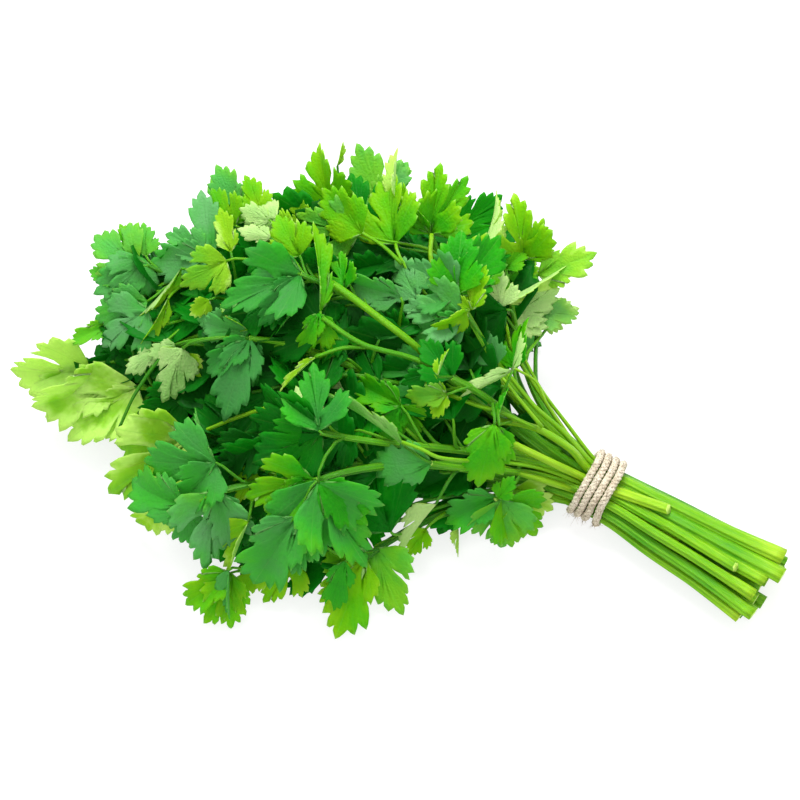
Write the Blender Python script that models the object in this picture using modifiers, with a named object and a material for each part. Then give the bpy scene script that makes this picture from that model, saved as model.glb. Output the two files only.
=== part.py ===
"""A bunch of flat-leaf parsley lying on a table, its stems bound with four turns of twine.

Every sprig is two pieces: a stem, and the leaf at its tip, which is three toothed leaflets grown
together at one point. The stems are packed side by side where the twine holds them. The twine is
wound round them and tied at the back. Metres, +Z up, cut ends towards +X, the leaves towards -X.
"""

import math

import bmesh
import bpy
import numpy as np
from mathutils import Matrix, Vector
from mathutils.bvhtree import BVHTree

# Stems: diameters where they are cut, where the twine holds them, and at the leaf.
CUT_DIAMETER = 0.0034
TIED_DIAMETER = 0.0029
TIP_DIAMETER = 0.0015
GAP = 0.0003
TAIL_POINTS = 3
FAN_POINTS = 11

# The bundle under the twine, as rows of stems from the table upwards, and its cut end.
ROWS = (4, 5, 6, 5, 4)
TIE_HALF_LENGTH = 0.008
TAIL_LENGTH = 0.075
TAIL_FLARE = 1.55
TAIL_DRIFT = 0.004
CUT_SHORT = {8: 0.036, 13: 0.059, 3: 0.066, 20: 0.064}

# Twine: turns side by side round the bundle, and the knot at the back.
TWINE_DIAMETER = 0.0028
TWINE_PITCH = 0.0030
TWINE_TURNS = 4
TWINE_PARTING = 0.0016
POINTS_A_TURN = 20
KNOT_HALF = (0.0042, 0.0022, 0.0027)
KNOT_TAIL = 0.010

# Leaves.
BLADE_THICKNESS = 0.0005
CLEARANCE = 0.0004
DOME = 0.17
CROWN_STALK = 0.12
STALK_WIDTH = 0.0014
SIDE_STALK = (0.018, 0.045)

# Half of a leaf's outline about the point where its three leaflets meet: degrees from its
# middle line, and radius as a share of the leaf's size. The tips of the lobes stand between
# notches, and the deep clefts part the leaflets.
OUTLINE = (
    (0, 1.00),
    (9, 0.82),
    (17, 0.88),
    (24, 0.52),
    (31, 0.20),
    (45, 0.68),
    (53, 0.64),
    (62, 0.84),
    (70, 0.63),
    (79, 0.66),
    (93, 0.24),
)

# The leaves as they lie. Millimetres from the middle of the tie along the bunch, across it and
# above the table to where the leaf starts; then the leaf's heading seen from above, its rise
# and its roll in degrees, and its size in millimetres. 180 degrees points away from the cut
# ends. Each of the first list ends a stem, and each of the second grows from a stem's side.
CROWNS = (
    (-165, -47, 22, -158, -12, 0, 42),
    (-138, -57, 22, -118, -20, 0, 35),
    (-112, -76, 44, -120, -22, 0, 33),
    (-98, -82, 14, -98, -18, 0, 31),
    (-78, -68, 56, -85, -30, 0, 35),
    (-60, -66, 16, -72, -22, 0, 32),
    (-83, -52, 63, 178, -8, 0, 33),
    (-122, -5, 70, -138, -16, 0, 36),
    (-124, -37, 63, -75, -22, 0, 33),
    (-168, -12, 36, -178, -14, 0, 35),
    (-144, 10, 52, 165, 8, 0, 31),
    (-108, 37, 44, 150, 26, 0, 31),
    (-88, 33, 56, 112, 36, 0, 28),
    (-62, 47, 40, 125, 40, 0, 27),
    (-60, 38, 32, 50, 6, 0, 26),
    (-68, 15, 64, 125, 26, 0, 30),
    (-48, -12, 50, -100, -28, 0, 28),
    (-30, -26, 24, -20, -30, 0, 22),
    (-50, -36, 46, 180, 0, 0, 33),
    (-145, 26, 3, 160, -6, 0, 36),
    (-100, 46, 3, 118, -6, 0, 35),
    (-68, 30, 3, 85, -6, 0, 28),
    (-92, -28, 2, -165, -4, 0, 40),
    (-155, -16, 4, 180, -6, 0, 38),
)
SIDE_LEAVES = (
    (-80, -76, 42, -105, -36, 0, 31),
    (-149, -9, 58, -135, -20, 0, 28),
    (-129, 27, 50, 138, 42, 0, 26),
    (-108, 18, 66, 168, 12, 0, 27),
    (-78, 5, 64, -165, -8, 0, 28),
    (-50, -34, 42, -28, -42, 0, 25),
    (-60, 30, 42, 100, 35, 0, 25),
    (-120, 4, 34, 175, 0, 0, 34),
    (-132, 26, 28, 150, 0, 0, 29),
    (-88, 48, 26, 120, 12, 0, 29),
    (-96, -60, 32, -130, -15, 0, 32),
)

LEAF_GREEN = (0.055, 0.23, 0.022)
STEM_GREEN = (0.19, 0.42, 0.03)
TWINE_BEIGE = (0.62, 0.52, 0.38)


def clear_scene():
    for obj in list(bpy.data.objects):
        bpy.data.objects.remove(obj)


def material(name, colour, roughness):
    made = bpy.data.materials.new(name)
    made.use_nodes = True
    shader = made.node_tree.nodes["Principled BSDF"]
    shader.inputs["Base Color"].default_value = (*colour, 1)
    shader.inputs["Roughness"].default_value = roughness
    shader.inputs["Metallic"].default_value = 0
    return made


def add_object(name, data, collection, finish):
    obj = bpy.data.objects.new(name, data)
    data.materials.append(finish)
    collection.objects.link(obj)
    return obj


def heading_vector(heading, rise):
    turned, raised = math.radians(heading), math.radians(rise)
    flat = math.cos(raised)
    return Vector((math.cos(turned) * flat, math.sin(turned) * flat, math.sin(raised)))


# The bundle: where each stem lies under the twine


def bundle_slots():
    """The stems' places across the tie, row by row from the table, each row from -Y to +Y."""
    across = TIED_DIAMETER + GAP
    upwards = across * math.cos(math.radians(30))
    lowest = TWINE_DIAMETER + TIED_DIAMETER / 2 + GAP
    slots = []
    for row, count in enumerate(ROWS):
        for i in range(count):
            slots.append((row, (i - (count - 1) / 2) * across, lowest + row * upwards))
    return slots


def slots_of_crowns():
    """Gives each stem a place in the tie: low leaves the low rows, and in a row side by side."""

    def rise(i):
        x, _, z = CROWNS[i][:3]
        return (z - 12) / abs(x)

    def side(i):
        return CROWNS[i][1] / abs(CROWNS[i][0])

    order = sorted(range(len(CROWNS)), key=rise)
    slots = bundle_slots()
    taken = {}
    start = 0
    for count in ROWS:
        for place, crown in enumerate(sorted(order[start : start + count], key=side)):
            taken[crown] = slots[start + place]
        start += count
    return taken


# Stems


def tail_line(index, slot):
    """The cut part, from the cut to the twine: it sinks to the table and flares a little."""
    row, y, z = slot
    length = CUT_SHORT.get(index, TAIL_LENGTH - 0.0015 * (index * 7 % 4))
    settled = CUT_DIAMETER / 2 + row * (CUT_DIAMETER + GAP) * math.cos(math.radians(30))
    line = []
    for step in range(TAIL_POINTS):
        t = 1 - step / TAIL_POINTS
        along = (t * length + (1 - t) * TIE_HALF_LENGTH) / TAIL_LENGTH
        spread = y * (1 + (TAIL_FLARE - 1) * along) - TAIL_DRIFT * along
        line.append(Vector((along * TAIL_LENGTH, spread, z + (settled - z) * along)))
    return line


def fan_line(start, crown):
    """The stem from the twine to its leaf: straight out of the twine, then bowed to its tip."""
    x, y, z, heading, rise, _, _ = crown
    tip = Vector((x, y, z)) / 1000
    reach = (tip - start).length
    chord = (tip - start) / reach
    leaving = (Vector((-0.6, 0, 0)) + 0.6 * chord) * reach
    arriving = (0.75 * chord + 0.3 * heading_vector(heading, rise)) * reach
    line = []
    for step in range(1, FAN_POINTS + 1):
        t = step / FAN_POINTS
        line.append(
            (2 * t**3 - 3 * t**2 + 1) * start
            + (t**3 - 2 * t**2 + t) * leaving
            + (3 * t**2 - 2 * t**3) * tip
            + (t**3 - t**2) * arriving
        )
    return line


def stem_line(index, slot):
    """All the points of a stem from its cut to its leaf, with a straight stretch in the twine."""
    _, y, z = slot
    ends = [Vector((x, y, z)) for x in (TIE_HALF_LENGTH, -TIE_HALF_LENGTH)]
    return [*tail_line(index, slot), *ends, *fan_line(ends[1], CROWNS[index])]


def stem_radii():
    """One radius for each point of a stem, from the cut to the leaf."""
    tail = np.linspace(CUT_DIAMETER, TIED_DIAMETER, TAIL_POINTS + 1)
    fan = np.linspace(TIED_DIAMETER, TIP_DIAMETER, FAN_POINTS + 1)
    return np.concatenate([tail, fan]) / 2


def nearest_on_segments(points, starts, ends):
    """For every point and every segment: the vector from the segment to the point."""
    along = ends - starts
    offset = points[:, None, :] - starts[None, :, :]
    share = (offset * along).sum(2) / np.maximum((along * along).sum(1), 1e-12)
    return offset - np.clip(share, 0, 1)[..., None] * along


def spread_stems(lines, radii, rounds=200):
    """Pushes stems apart outside the twine wherever two of them would touch."""
    count = len(radii)
    points = np.array([point for line in lines for point in line])
    owner = np.repeat(np.arange(len(lines)), count)
    radius = np.tile(radii, len(lines))
    free = ~np.isin(np.tile(np.arange(count), len(lines)), (TAIL_POINTS, TAIL_POINTS + 1))
    first = np.array([k for k in range(len(owner) - 1) if owner[k] == owner[k + 1]])
    other = owner[:, None] != owner[first][None, :]
    wanted = radius[:, None] + np.maximum(radius[first], radius[first + 1])[None, :]
    wanted = wanted + 1.5 * GAP
    for _ in range(rounds):
        away = nearest_on_segments(points, points[first], points[first + 1])
        distance = np.linalg.norm(away, axis=2)
        short = np.where(other, np.maximum(wanted - distance, 0), 0)
        if short[free].max() <= GAP / 2:
            break
        push = away / np.maximum(distance, 1e-6)[..., None] * short[..., None]
        moved = 0.5 * push.sum(1)
        for k, back in enumerate(first):
            share = -0.25 * push[:, k].sum(0)
            moved[back] += share
            moved[back + 1] += share
        points[free] += moved[free]
        points[:, 2] = np.maximum(points[:, 2], radius)
    return np.split(points, len(lines))


def add_tube(name, line, radii, collection, finish):
    curve = bpy.data.curves.new(name, "CURVE")
    curve.dimensions = "3D"
    curve.bevel_depth = 1.0
    curve.bevel_resolution = 2
    curve.use_fill_caps = True
    spline = curve.splines.new("POLY")
    spline.points.add(len(line) - 1)
    for point, place, radius in zip(spline.points, line, radii):
        point.co = (*place, 1)
        point.radius = radius
    return add_object(name, curve, collection, finish)


# Leaves


def blade_rim(size, stalk):
    """A leaf's rim in its own plane, round from the middle tip: both halves and the stalk's end."""
    half = []
    for angle, share in OUTLINE:
        turned = math.radians(angle)
        half.append(Vector((math.cos(turned), math.sin(turned), 0)) * share * size)
    half.append(Vector((-0.03 * size, 0.06 * size, 0)))
    half.append(Vector((-stalk, STALK_WIDTH / 2, 0)))
    return half + [Vector((p.x, -p.y, 0)) for p in reversed(half[1:])]


def flat_blade(size, stalk):
    """A leaf before it is bent: a disc whose rim is drawn out to the outline, as a bmesh."""
    rim = blade_rim(size, stalk)
    blade = bmesh.new()
    bmesh.ops.create_circle(blade, segments=len(rim), radius=1, cap_ends=True, cap_tris=True)
    middle = max(blade.verts, key=lambda v: len(v.link_edges))
    edge = [v for v in blade.verts if v is not middle]
    edge.sort(key=lambda v: round(math.atan2(v.co.y, v.co.x), 4) % round(2 * math.pi, 4))
    for vertex, place in zip(edge, rim):
        vertex.co = place
    spokes = [e for e in middle.link_edges if e.other_vert(middle).co.x > -0.01 * size]
    bmesh.ops.subdivide_edges(blade, edges=spokes, cuts=1)
    bmesh.ops.triangulate(blade, faces=blade.faces)
    bmesh.ops.recalc_face_normals(blade, faces=blade.faces)
    if sum(face.normal.z * face.calc_area() for face in blade.faces) < 0:
        bmesh.ops.reverse_faces(blade, faces=blade.faces)
    return blade


def bent_blade(start, stalk, size, heading, rise, roll):
    """The leaf where it grows: domed, so that its tips droop, and flat where it meets the table."""
    blade = flat_blade(size, stalk)
    turn = (
        Matrix.Rotation(math.radians(heading), 3, "Z")
        @ Matrix.Rotation(math.radians(-rise), 3, "Y")
        @ Matrix.Rotation(math.radians(roll), 3, "X")
    )
    meeting = start + turn @ Vector((stalk, 0, 0))
    for vertex in blade.verts:
        if vertex.co.x > -0.01 * size:
            vertex.co.z = -DOME * vertex.co.length_squared / size
        vertex.co = turn @ vertex.co + meeting
        vertex.co.z = max(vertex.co.z, BLADE_THICKNESS / 2)
    blade.normal_update()
    return blade


def tree_of_blade(blade, thickness):
    """The bent blade as a plate of this thickness, for testing what it touches."""
    blade.verts.index_update()
    count = len(blade.verts)
    upper = [v.co + v.normal * thickness / 2 for v in blade.verts]
    lower = [v.co - v.normal * thickness / 2 for v in blade.verts]
    faces = [[v.index for v in face.verts] for face in blade.faces]
    faces += [[count + i for i in reversed(face)] for face in faces]
    for edge in blade.edges:
        if edge.is_boundary:
            a, b = (v.index for v in edge.verts)
            faces.append([a, b, count + b, count + a])
    return BVHTree.FromPolygons(upper + lower, faces)


def tree_of_tube(line, radii):
    """A tube as an eight-sided mesh, for testing what it touches."""
    corners, faces = [], []
    for i, place in enumerate(line):
        before, after = line[max(i - 1, 0)], line[min(i + 1, len(line) - 1)]
        along = Vector(after - before).normalized()
        side = along.cross(Vector((0, 0, 1))).normalized()
        up = side.cross(along)
        for corner in range(8):
            turned = math.radians(45 * corner)
            spoke = math.cos(turned) * side + math.sin(turned) * up
            corners.append(Vector(place) + spoke * (radii[i] + CLEARANCE / 2))
        if i:
            for corner in range(8):
                a, b = 8 * i + corner, 8 * i + (corner + 1) % 8
                faces.append([a - 8, b - 8, b, a])
    return BVHTree.FromPolygons(corners, faces)


def turns_to_try():
    """Turns of a leaf's heading, rise and roll, the smallest first."""
    tries = [
        (heading, rise, roll)
        for heading in (0, -12, 12, -24, 24, -40, 40)
        for rise in (0, -7, 7, -14, 14, -22, 22, -32, 32)
        for roll in (0, -10, 10, -20, 20, -32, 32)
    ]
    return sorted(tries, key=lambda t: abs(t[0]) * 0.8 + abs(t[1]) + abs(t[2]) * 0.7)


def stem_beside(leaf, lines):
    """Where a side leaf's stalk starts: the stem's point nearest to the line behind the leaf."""
    x, y, z, heading, rise, _, _ = leaf
    forward = heading_vector(heading, rise)
    place = Vector((x, y, z)) / 1000
    best = None
    for line in lines:
        for i in range(TAIL_POINTS + 4, len(line) - 2):
            for t in (0, 0.5):
                point = Vector(line[i] * (1 - t) + line[i + 1] * t)
                stalk = min(max((place - point).dot(forward), SIDE_STALK[0]), SIDE_STALK[1])
                miss = (place - forward * stalk - point).length
                if best is None or miss < best[0]:
                    best = (miss, point, stalk)
    return best[1:]


def settle_blade(start, clear_by, stalk, leaf, placed):
    """Turns a leaf about its start until it clears all that is there, or makes it smaller."""
    _, _, _, heading, rise, roll, millimetres = leaf
    for shrink in (1.0, 0.92, 0.84, 0.74, 0.62):
        size = millimetres / 1000 * shrink
        for more_heading, more_rise, more_roll in turns_to_try():
            pose = (heading + more_heading, rise + more_rise, roll + more_roll)
            begin = start + heading_vector(*pose[:2]) * clear_by
            blade = bent_blade(begin, stalk, size, *pose)
            tree = tree_of_blade(blade, BLADE_THICKNESS + 2 * CLEARANCE)
            if not any(tree.overlap(other) for other in placed):
                return blade
            blade.free()
    raise RuntimeError(f"no room for the leaf {leaf}")


def add_leaf(name, blade, collection, finish):
    mesh = bpy.data.meshes.new(name)
    blade.to_mesh(mesh)
    blade.free()
    leaf = add_object(name, mesh, collection, finish)
    plate = leaf.modifiers.new("thickness", "SOLIDIFY")
    plate.thickness = BLADE_THICKNESS
    plate.offset = 0
    return leaf


# Twine


def round_the_bundle(turned):
    """Where the twine's middle passes the bundle in this direction, hugging its outer stems."""
    y, z = math.cos(turned), math.sin(turned)
    _, held_y, held_z = max(bundle_slots(), key=lambda slot: slot[1] * y + slot[2] * z)
    reach = TIED_DIAMETER / 2 + GAP + TWINE_DIAMETER / 2
    return held_y + y * reach, held_z + z * reach


def twine_line():
    """Turns side by side, the last one parted from the rest low on the -Y side."""
    steps = TWINE_TURNS * POINTS_A_TURN
    line = []
    for i in range(steps + 1):
        turned = 2 * math.pi * i / POINTS_A_TURN - math.radians(50)
        x = (i / steps - 0.5) * TWINE_TURNS * TWINE_PITCH
        if i > steps - POINTS_A_TURN:
            x += TWINE_PARTING * max(0, math.cos(turned - math.radians(215))) ** 2
        line.append(Vector((x, *round_the_bundle(turned))))
    return line


def as_mesh(obj, collection, finish):
    """A curve object made a mesh object with its caps welded."""
    bpy.context.view_layer.update()
    evaluated = obj.evaluated_get(bpy.context.evaluated_depsgraph_get())
    mesh = bpy.data.meshes.new_from_object(evaluated)
    welded = bmesh.new()
    welded.from_mesh(mesh)
    bmesh.ops.remove_doubles(welded, verts=welded.verts, dist=1e-6)
    welded.to_mesh(mesh)
    welded.free()
    name = obj.name
    bpy.data.objects.remove(obj)
    mesh.materials.clear()
    return add_object(name, mesh, collection, finish)


def add_knot_pieces(helpers, finish):
    """The knot's lump and its two cut ends, to be joined to the turns of twine."""
    y, z = round_the_bundle(math.radians(-40))
    centre = Vector((0, y + 0.0022, z + 0.0012))
    lump = bmesh.new()
    bmesh.ops.create_uvsphere(lump, u_segments=10, v_segments=7, radius=1)
    for vertex in lump.verts:
        vertex.co = centre + Vector(a * b for a, b in zip(vertex.co, KNOT_HALF))
    mesh = bpy.data.meshes.new("knot_lump")
    lump.to_mesh(mesh)
    lump.free()
    pieces = [add_object("knot_lump", mesh, helpers, finish)]
    radius = TWINE_DIAMETER / 2
    for side in (-1, 1):
        out = Vector((side * 0.6, 0.75, -0.16)).normalized()
        tail = [centre + out * KNOT_TAIL * t for t in (0.1, 0.55, 1)]
        tail = [Vector((p.x, p.y, max(p.z, radius + GAP / 3))) for p in tail]
        curve = add_tube(f"knot_end_{'ab'[side > 0]}", tail, [radius] * 3, helpers, finish)
        pieces.append(as_mesh(curve, helpers, finish))
    return pieces


def add_twine(collection, helpers, finish):
    line = twine_line()
    curve = add_tube("twine", line, [TWINE_DIAMETER / 2] * len(line), collection, finish)
    twine = as_mesh(curve, collection, finish)
    for piece in add_knot_pieces(helpers, finish):
        piece.hide_render = True
        piece.display_type = "WIRE"
        joined = twine.modifiers.new(piece.name, "BOOLEAN")
        joined.operation = "UNION"
        joined.object = piece
    return twine


def stand_at_origin(*collections):
    """Moves everything so that the origin is under the middle of the bunch, on the table."""
    bpy.context.view_layer.update()
    graph = bpy.context.evaluated_depsgraph_get()
    low = Vector((math.inf,) * 3)
    high = Vector((-math.inf,) * 3)
    for obj in collections[0].objects:
        evaluated = obj.evaluated_get(graph)
        mesh = evaluated.to_mesh()
        for vertex in mesh.vertices:
            place = evaluated.matrix_world @ vertex.co
            low = Vector(map(min, low, place))
            high = Vector(map(max, high, place))
        evaluated.to_mesh_clear()
    shift = Vector((-(low.x + high.x) / 2, -(low.y + high.y) / 2, -low.z))
    for collection in collections:
        for obj in collection.objects:
            obj.location += shift


def main():
    clear_scene()
    bunch = bpy.data.collections.new("parsley_bunch")
    helpers = bpy.data.collections.new("helpers")
    bpy.context.scene.collection.children.link(bunch)
    bpy.context.scene.collection.children.link(helpers)
    leaf_green = material("leaf_green", LEAF_GREEN, 0.5)
    stem_green = material("stem_green", STEM_GREEN, 0.35)
    twine_beige = material("twine_beige", TWINE_BEIGE, 0.9)

    slots = slots_of_crowns()
    radii = stem_radii()
    lines = spread_stems([stem_line(i, slots[i]) for i in range(len(CROWNS))], radii)
    for i, line in enumerate(lines, start=1):
        add_tube(f"stem_{i:02d}", line, radii, bunch, stem_green)
    add_twine(bunch, helpers, twine_beige)

    twine = twine_line()
    placed = [tree_of_tube(line, radii) for line in lines]
    placed.append(tree_of_tube(twine, [TWINE_DIAMETER / 2] * len(twine)))
    for i, (line, crown) in enumerate(zip(lines, CROWNS), start=1):
        stalk = CROWN_STALK * crown[-1] / 1000
        blade = settle_blade(Vector(line[-1]), radii[-1] + GAP, stalk, crown, placed)
        placed.append(tree_of_blade(blade, BLADE_THICKNESS))
        add_leaf(f"crown_leaf_{i:02d}", blade, bunch, leaf_green)
    for i, leaf in enumerate(SIDE_LEAVES, start=1):
        start, stalk = stem_beside(leaf, lines)
        clear_by = TIED_DIAMETER / 2 + 2 * CLEARANCE
        blade = settle_blade(start, clear_by, stalk - clear_by, leaf, placed)
        placed.append(tree_of_blade(blade, BLADE_THICKNESS))
        add_leaf(f"side_leaf_{i:02d}", blade, bunch, leaf_green)
    stand_at_origin(bunch, helpers)


main()
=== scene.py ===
import itertools
import math

import bmesh
import bpy
import numpy as np
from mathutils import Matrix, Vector


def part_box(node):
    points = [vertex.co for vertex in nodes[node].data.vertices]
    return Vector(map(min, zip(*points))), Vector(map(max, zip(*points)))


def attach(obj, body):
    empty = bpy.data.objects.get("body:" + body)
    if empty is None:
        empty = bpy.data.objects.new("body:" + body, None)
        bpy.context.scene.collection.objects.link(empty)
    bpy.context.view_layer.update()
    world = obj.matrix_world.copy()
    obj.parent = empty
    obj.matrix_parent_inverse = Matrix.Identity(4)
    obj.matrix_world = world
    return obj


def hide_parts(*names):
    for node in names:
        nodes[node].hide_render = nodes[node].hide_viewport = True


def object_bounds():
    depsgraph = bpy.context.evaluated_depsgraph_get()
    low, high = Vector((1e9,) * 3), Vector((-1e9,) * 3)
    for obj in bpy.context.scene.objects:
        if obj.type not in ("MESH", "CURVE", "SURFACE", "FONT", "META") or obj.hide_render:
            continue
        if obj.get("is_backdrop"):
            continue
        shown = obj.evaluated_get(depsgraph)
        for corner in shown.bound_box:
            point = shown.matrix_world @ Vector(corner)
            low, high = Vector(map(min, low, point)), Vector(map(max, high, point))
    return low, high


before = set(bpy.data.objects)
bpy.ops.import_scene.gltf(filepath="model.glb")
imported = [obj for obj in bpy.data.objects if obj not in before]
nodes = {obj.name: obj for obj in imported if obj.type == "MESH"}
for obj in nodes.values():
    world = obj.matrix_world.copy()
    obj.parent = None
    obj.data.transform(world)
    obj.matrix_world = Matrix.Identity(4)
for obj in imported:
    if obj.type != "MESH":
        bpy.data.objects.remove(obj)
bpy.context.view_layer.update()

scene = bpy.context.scene


# ---------------------------------------------------------------------------------------------
# The table and the studio: a plain white table, a large soft light over the back left of the
# bunch, a weaker one in front, and white walls all round. The camera looks down on the bunch
# from beyond its lower side, with the cut ends to the right.
TABLE_HALF = 3.0
TABLE_GREY = 0.30
TABLE_GLOW = 0.74
WALL_LIGHT = 1.05
WHITE = (1, 1, 1, 1)
CAMERA_AZIMUTH, CAMERA_ELEVATION = 30, 62
CAMERA_DISTANCE, CAMERA_LENS, CAMERA_SENSOR = 1.20, 150, 36
AIM = Vector((-0.0100, 0.0050, 0.0250))


def towards(azimuth, elevation):
    """The direction from the bunch to something at this azimuth and height above the table."""
    a, e = math.radians(azimuth), math.radians(elevation)
    return Vector((math.sin(a) * math.cos(e), -math.cos(a) * math.cos(e), math.sin(e)))


def aim_at_bunch(obj, azimuth, elevation, distance):
    """Puts an object into the scene at this distance from the bunch, looking at it."""
    scene.collection.objects.link(obj)
    out = towards(azimuth, elevation)
    obj.location = AIM + out * distance
    obj.rotation_euler = (-out).to_track_quat("-Z", "Y").to_euler()


def hang_light(name, azimuth, elevation, distance, side, watts):
    lamp = bpy.data.lights.new(name, "AREA")
    lamp.shape = "SQUARE"
    lamp.size = side
    lamp.energy = watts
    aim_at_bunch(bpy.data.objects.new(name, lamp), azimuth, elevation, distance)


def set_sockets(made, values):
    for label, value in values.items():
        made.inputs[label].default_value = value


def new_material(name):
    """A material, its node tree and its shader."""
    made = bpy.data.materials.new(name)
    made.use_nodes = True
    return made, made.node_tree, made.node_tree.nodes["Principled BSDF"]


bpy.ops.mesh.primitive_plane_add(size=2 * TABLE_HALF, location=(0, 0, 0))
table = bpy.context.active_object
table.name = "white_table"
table_white, _, shader = new_material("matt_white_table")
shader.inputs["Base Color"].default_value = (TABLE_GREY, TABLE_GREY, TABLE_GREY, 1)
shader.inputs["Emission Color"].default_value = WHITE
shader.inputs["Emission Strength"].default_value = TABLE_GLOW
shader.inputs["Roughness"].default_value = 0.9
shader.inputs["Specular IOR Level"].default_value = 0.1
table.data.materials.append(table_white)
table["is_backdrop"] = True

world = bpy.data.worlds.new("white_studio")
scene.world = world
world.use_nodes = True
set_sockets(world.node_tree.nodes["Background"], {"Color": WHITE, "Strength": WALL_LIGHT})

hang_light("key_softbox", azimuth=215, elevation=58, distance=1.1, side=0.6, watts=18.5)
hang_light("front_fill", azimuth=20, elevation=50, distance=1.4, side=0.9, watts=3)

camera_data = bpy.data.cameras.new("camera")
camera_data.lens = CAMERA_LENS
camera_data.sensor_width = CAMERA_SENSOR
camera = bpy.data.objects.new("camera", camera_data)
aim_at_bunch(camera, CAMERA_AZIMUTH, CAMERA_ELEVATION, CAMERA_DISTANCE)
scene.camera = camera
scene.view_settings.view_transform = "Standard"
scene.view_settings.look = "None"
scene.view_settings.exposure = 0
scene.view_settings.gamma = 1


# ---------------------------------------------------------------------------------------------
# Stem form: solid stalks with fine ribs all the way along, thickest at the cut. The two dozen
# are packed tightly where they are tied, so their modelled centre lines also say where the tie
# is, and every other place in the bunch is measured from there.
STEM_COUNT = 24
RIBS = 6
STEM_CORNERS = 4 * RIBS
RIB_DEPTH = 0.15
RING_SPACING = 0.0035
PATTERN_LENGTH = 0.04
# Which side a slanted cut faces: this many radians round for each unit of its lean.
CUT_TURN = 9
# Neighbouring corners of one modelled ring are closer than this. The tie is past the fifth ring.
CORNER_GAP = 0.0016
TIED_RING, TIE_PAST_RING = 4, 0.008


def select_only(*objects):
    bpy.ops.object.select_all(action="DESELECT")
    for obj in objects:
        obj.select_set(True)
    bpy.context.view_layer.objects.active = objects[0]


def edit(obj, step, **settings):
    """Runs an edit mode operator on all of a mesh."""
    select_only(obj)
    bpy.ops.object.mode_set(mode="EDIT")
    bpy.ops.mesh.select_all(action="SELECT")
    step(**settings)
    bpy.ops.object.mode_set(mode="OBJECT")


def places_of(mesh):
    """A mesh's vertices as an array of places."""
    places = np.zeros(len(mesh.vertices) * 3)
    mesh.vertices.foreach_get("co", places)
    return places.reshape(-1, 3)


def grid_of(name, columns, rows):
    """A flat grid of this many faces, with its vertices' indices as an array of rows."""
    bpy.ops.object.select_all(action="DESELECT")
    bpy.ops.mesh.primitive_grid_add(x_subdivisions=columns, y_subdivisions=rows, size=2)
    grid = bpy.context.active_object
    grid.name = name
    grid.data.name = name
    places = places_of(grid.data).round(5)
    order = np.lexsort((places[:, 0], places[:, 1]))
    return grid, order.reshape(rows + 1, columns + 1)


def set_values(mesh, name, values):
    """Stores a number on each vertex for the materials to read."""
    made = mesh.attributes.get(name) or mesh.attributes.new(name, "FLOAT", "POINT")
    made.data.foreach_set("value", np.asarray(values, np.float32))


def set_pattern_map(mesh, places):
    """Unrolls a mesh: says where each vertex is on the pattern that follows its surface."""
    corner_vertex = np.zeros(len(mesh.loops), int)
    mesh.loops.foreach_get("vertex_index", corner_vertex)
    mesh.uv_layers[0].data.foreach_set("uv", places[corner_vertex].ravel())


def smooth_line(points, spacing):
    """Points at even spacing on a smooth curve through the given ones."""
    points = np.array(points, float)
    padded = np.vstack([2 * points[0] - points[1], points, 2 * points[-1] - points[-2]])
    line = []
    for i in range(1, len(padded) - 2):
        a, b, c, d = padded[i - 1 : i + 3]
        count = max(1, int(round(np.linalg.norm(c - b) / spacing)))
        for t in np.arange(count) / count:
            square = (2 * a - 5 * b + 4 * c - d) * t**2
            cube = (3 * b - a - 3 * c + d) * t**3
            line.append(0.5 * (2 * b + (c - a) * t + square + cube))
    line.append(points[-1])
    return np.array(line)


def length_along(line):
    """How far along a line each of its points is."""
    return np.concatenate([[0], np.linalg.norm(np.diff(line, axis=0), axis=1).cumsum()])


def carried_frames(line):
    """Two directions across the line at each of its points, carried along without twist."""
    along = np.gradient(line, axis=0)
    along /= np.linalg.norm(along, axis=1)[:, None]
    side = np.cross(along[0], (0.0, 0.0, 1.0))
    if np.linalg.norm(side) < 0.1:
        side = np.cross(along[0], (0.0, 1.0, 0.0))
    sides = []
    for direction in along:
        side = side - direction * side.dot(direction)
        side = side / np.linalg.norm(side)
        sides.append(side)
    sides = np.array(sides)
    return along, sides, np.cross(along, sides)


def rolled_tube(name, line, radii, corners, ribs=0, depth=0.0, lean=0.0, tone=0.5, flat=1.0):
    """A grid rolled up round a line and closed at both ends, with ribs along it."""
    line, radii = np.asarray(line), np.asarray(radii)
    tube, index = grid_of(name, corners, len(line) - 1)
    _, sides, ups = carried_frames(line)
    turned = -np.linspace(0, 2 * math.pi, corners + 1)
    ridge = np.cos(ribs * turned) if ribs else np.zeros(corners + 1)
    across = np.cos(turned)[:, None] * sides[:, None] * flat
    upwards = np.sin(turned)[:, None] * ups[:, None] / flat
    places = np.zeros((index.size, 3))
    ribbed = radii[:, None] * (1 + depth * ridge)
    places[index] = line[:, None] + (across + upwards) * ribbed[..., None]
    if lean:
        out = line[0] - line[1]
        out /= np.linalg.norm(out)
        slant = np.cos(turned + lean * CUT_TURN) * radii[0] * lean
        places[index[0]] += out * slant[:, None]
    gone = length_along(line)
    ridges, reach, lengths, around = np.zeros((4, index.size))
    ridges[index] = ridge
    reach[index] = (gone / gone[-1])[:, None]
    lengths[index] = (gone / PATTERN_LENGTH)[:, None]
    around[index] = np.arange(corners + 1) / corners
    tube.data.vertices.foreach_set("co", places.ravel())
    set_values(tube.data, "ridge", ridges)
    set_values(tube.data, "reach", reach)
    set_values(tube.data, "tone", np.full(index.size, tone))
    set_pattern_map(tube.data, np.column_stack([lengths, around]))
    edit(tube, bpy.ops.mesh.remove_doubles, threshold=1e-6)
    fill_open_ends(tube)
    return tube


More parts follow.
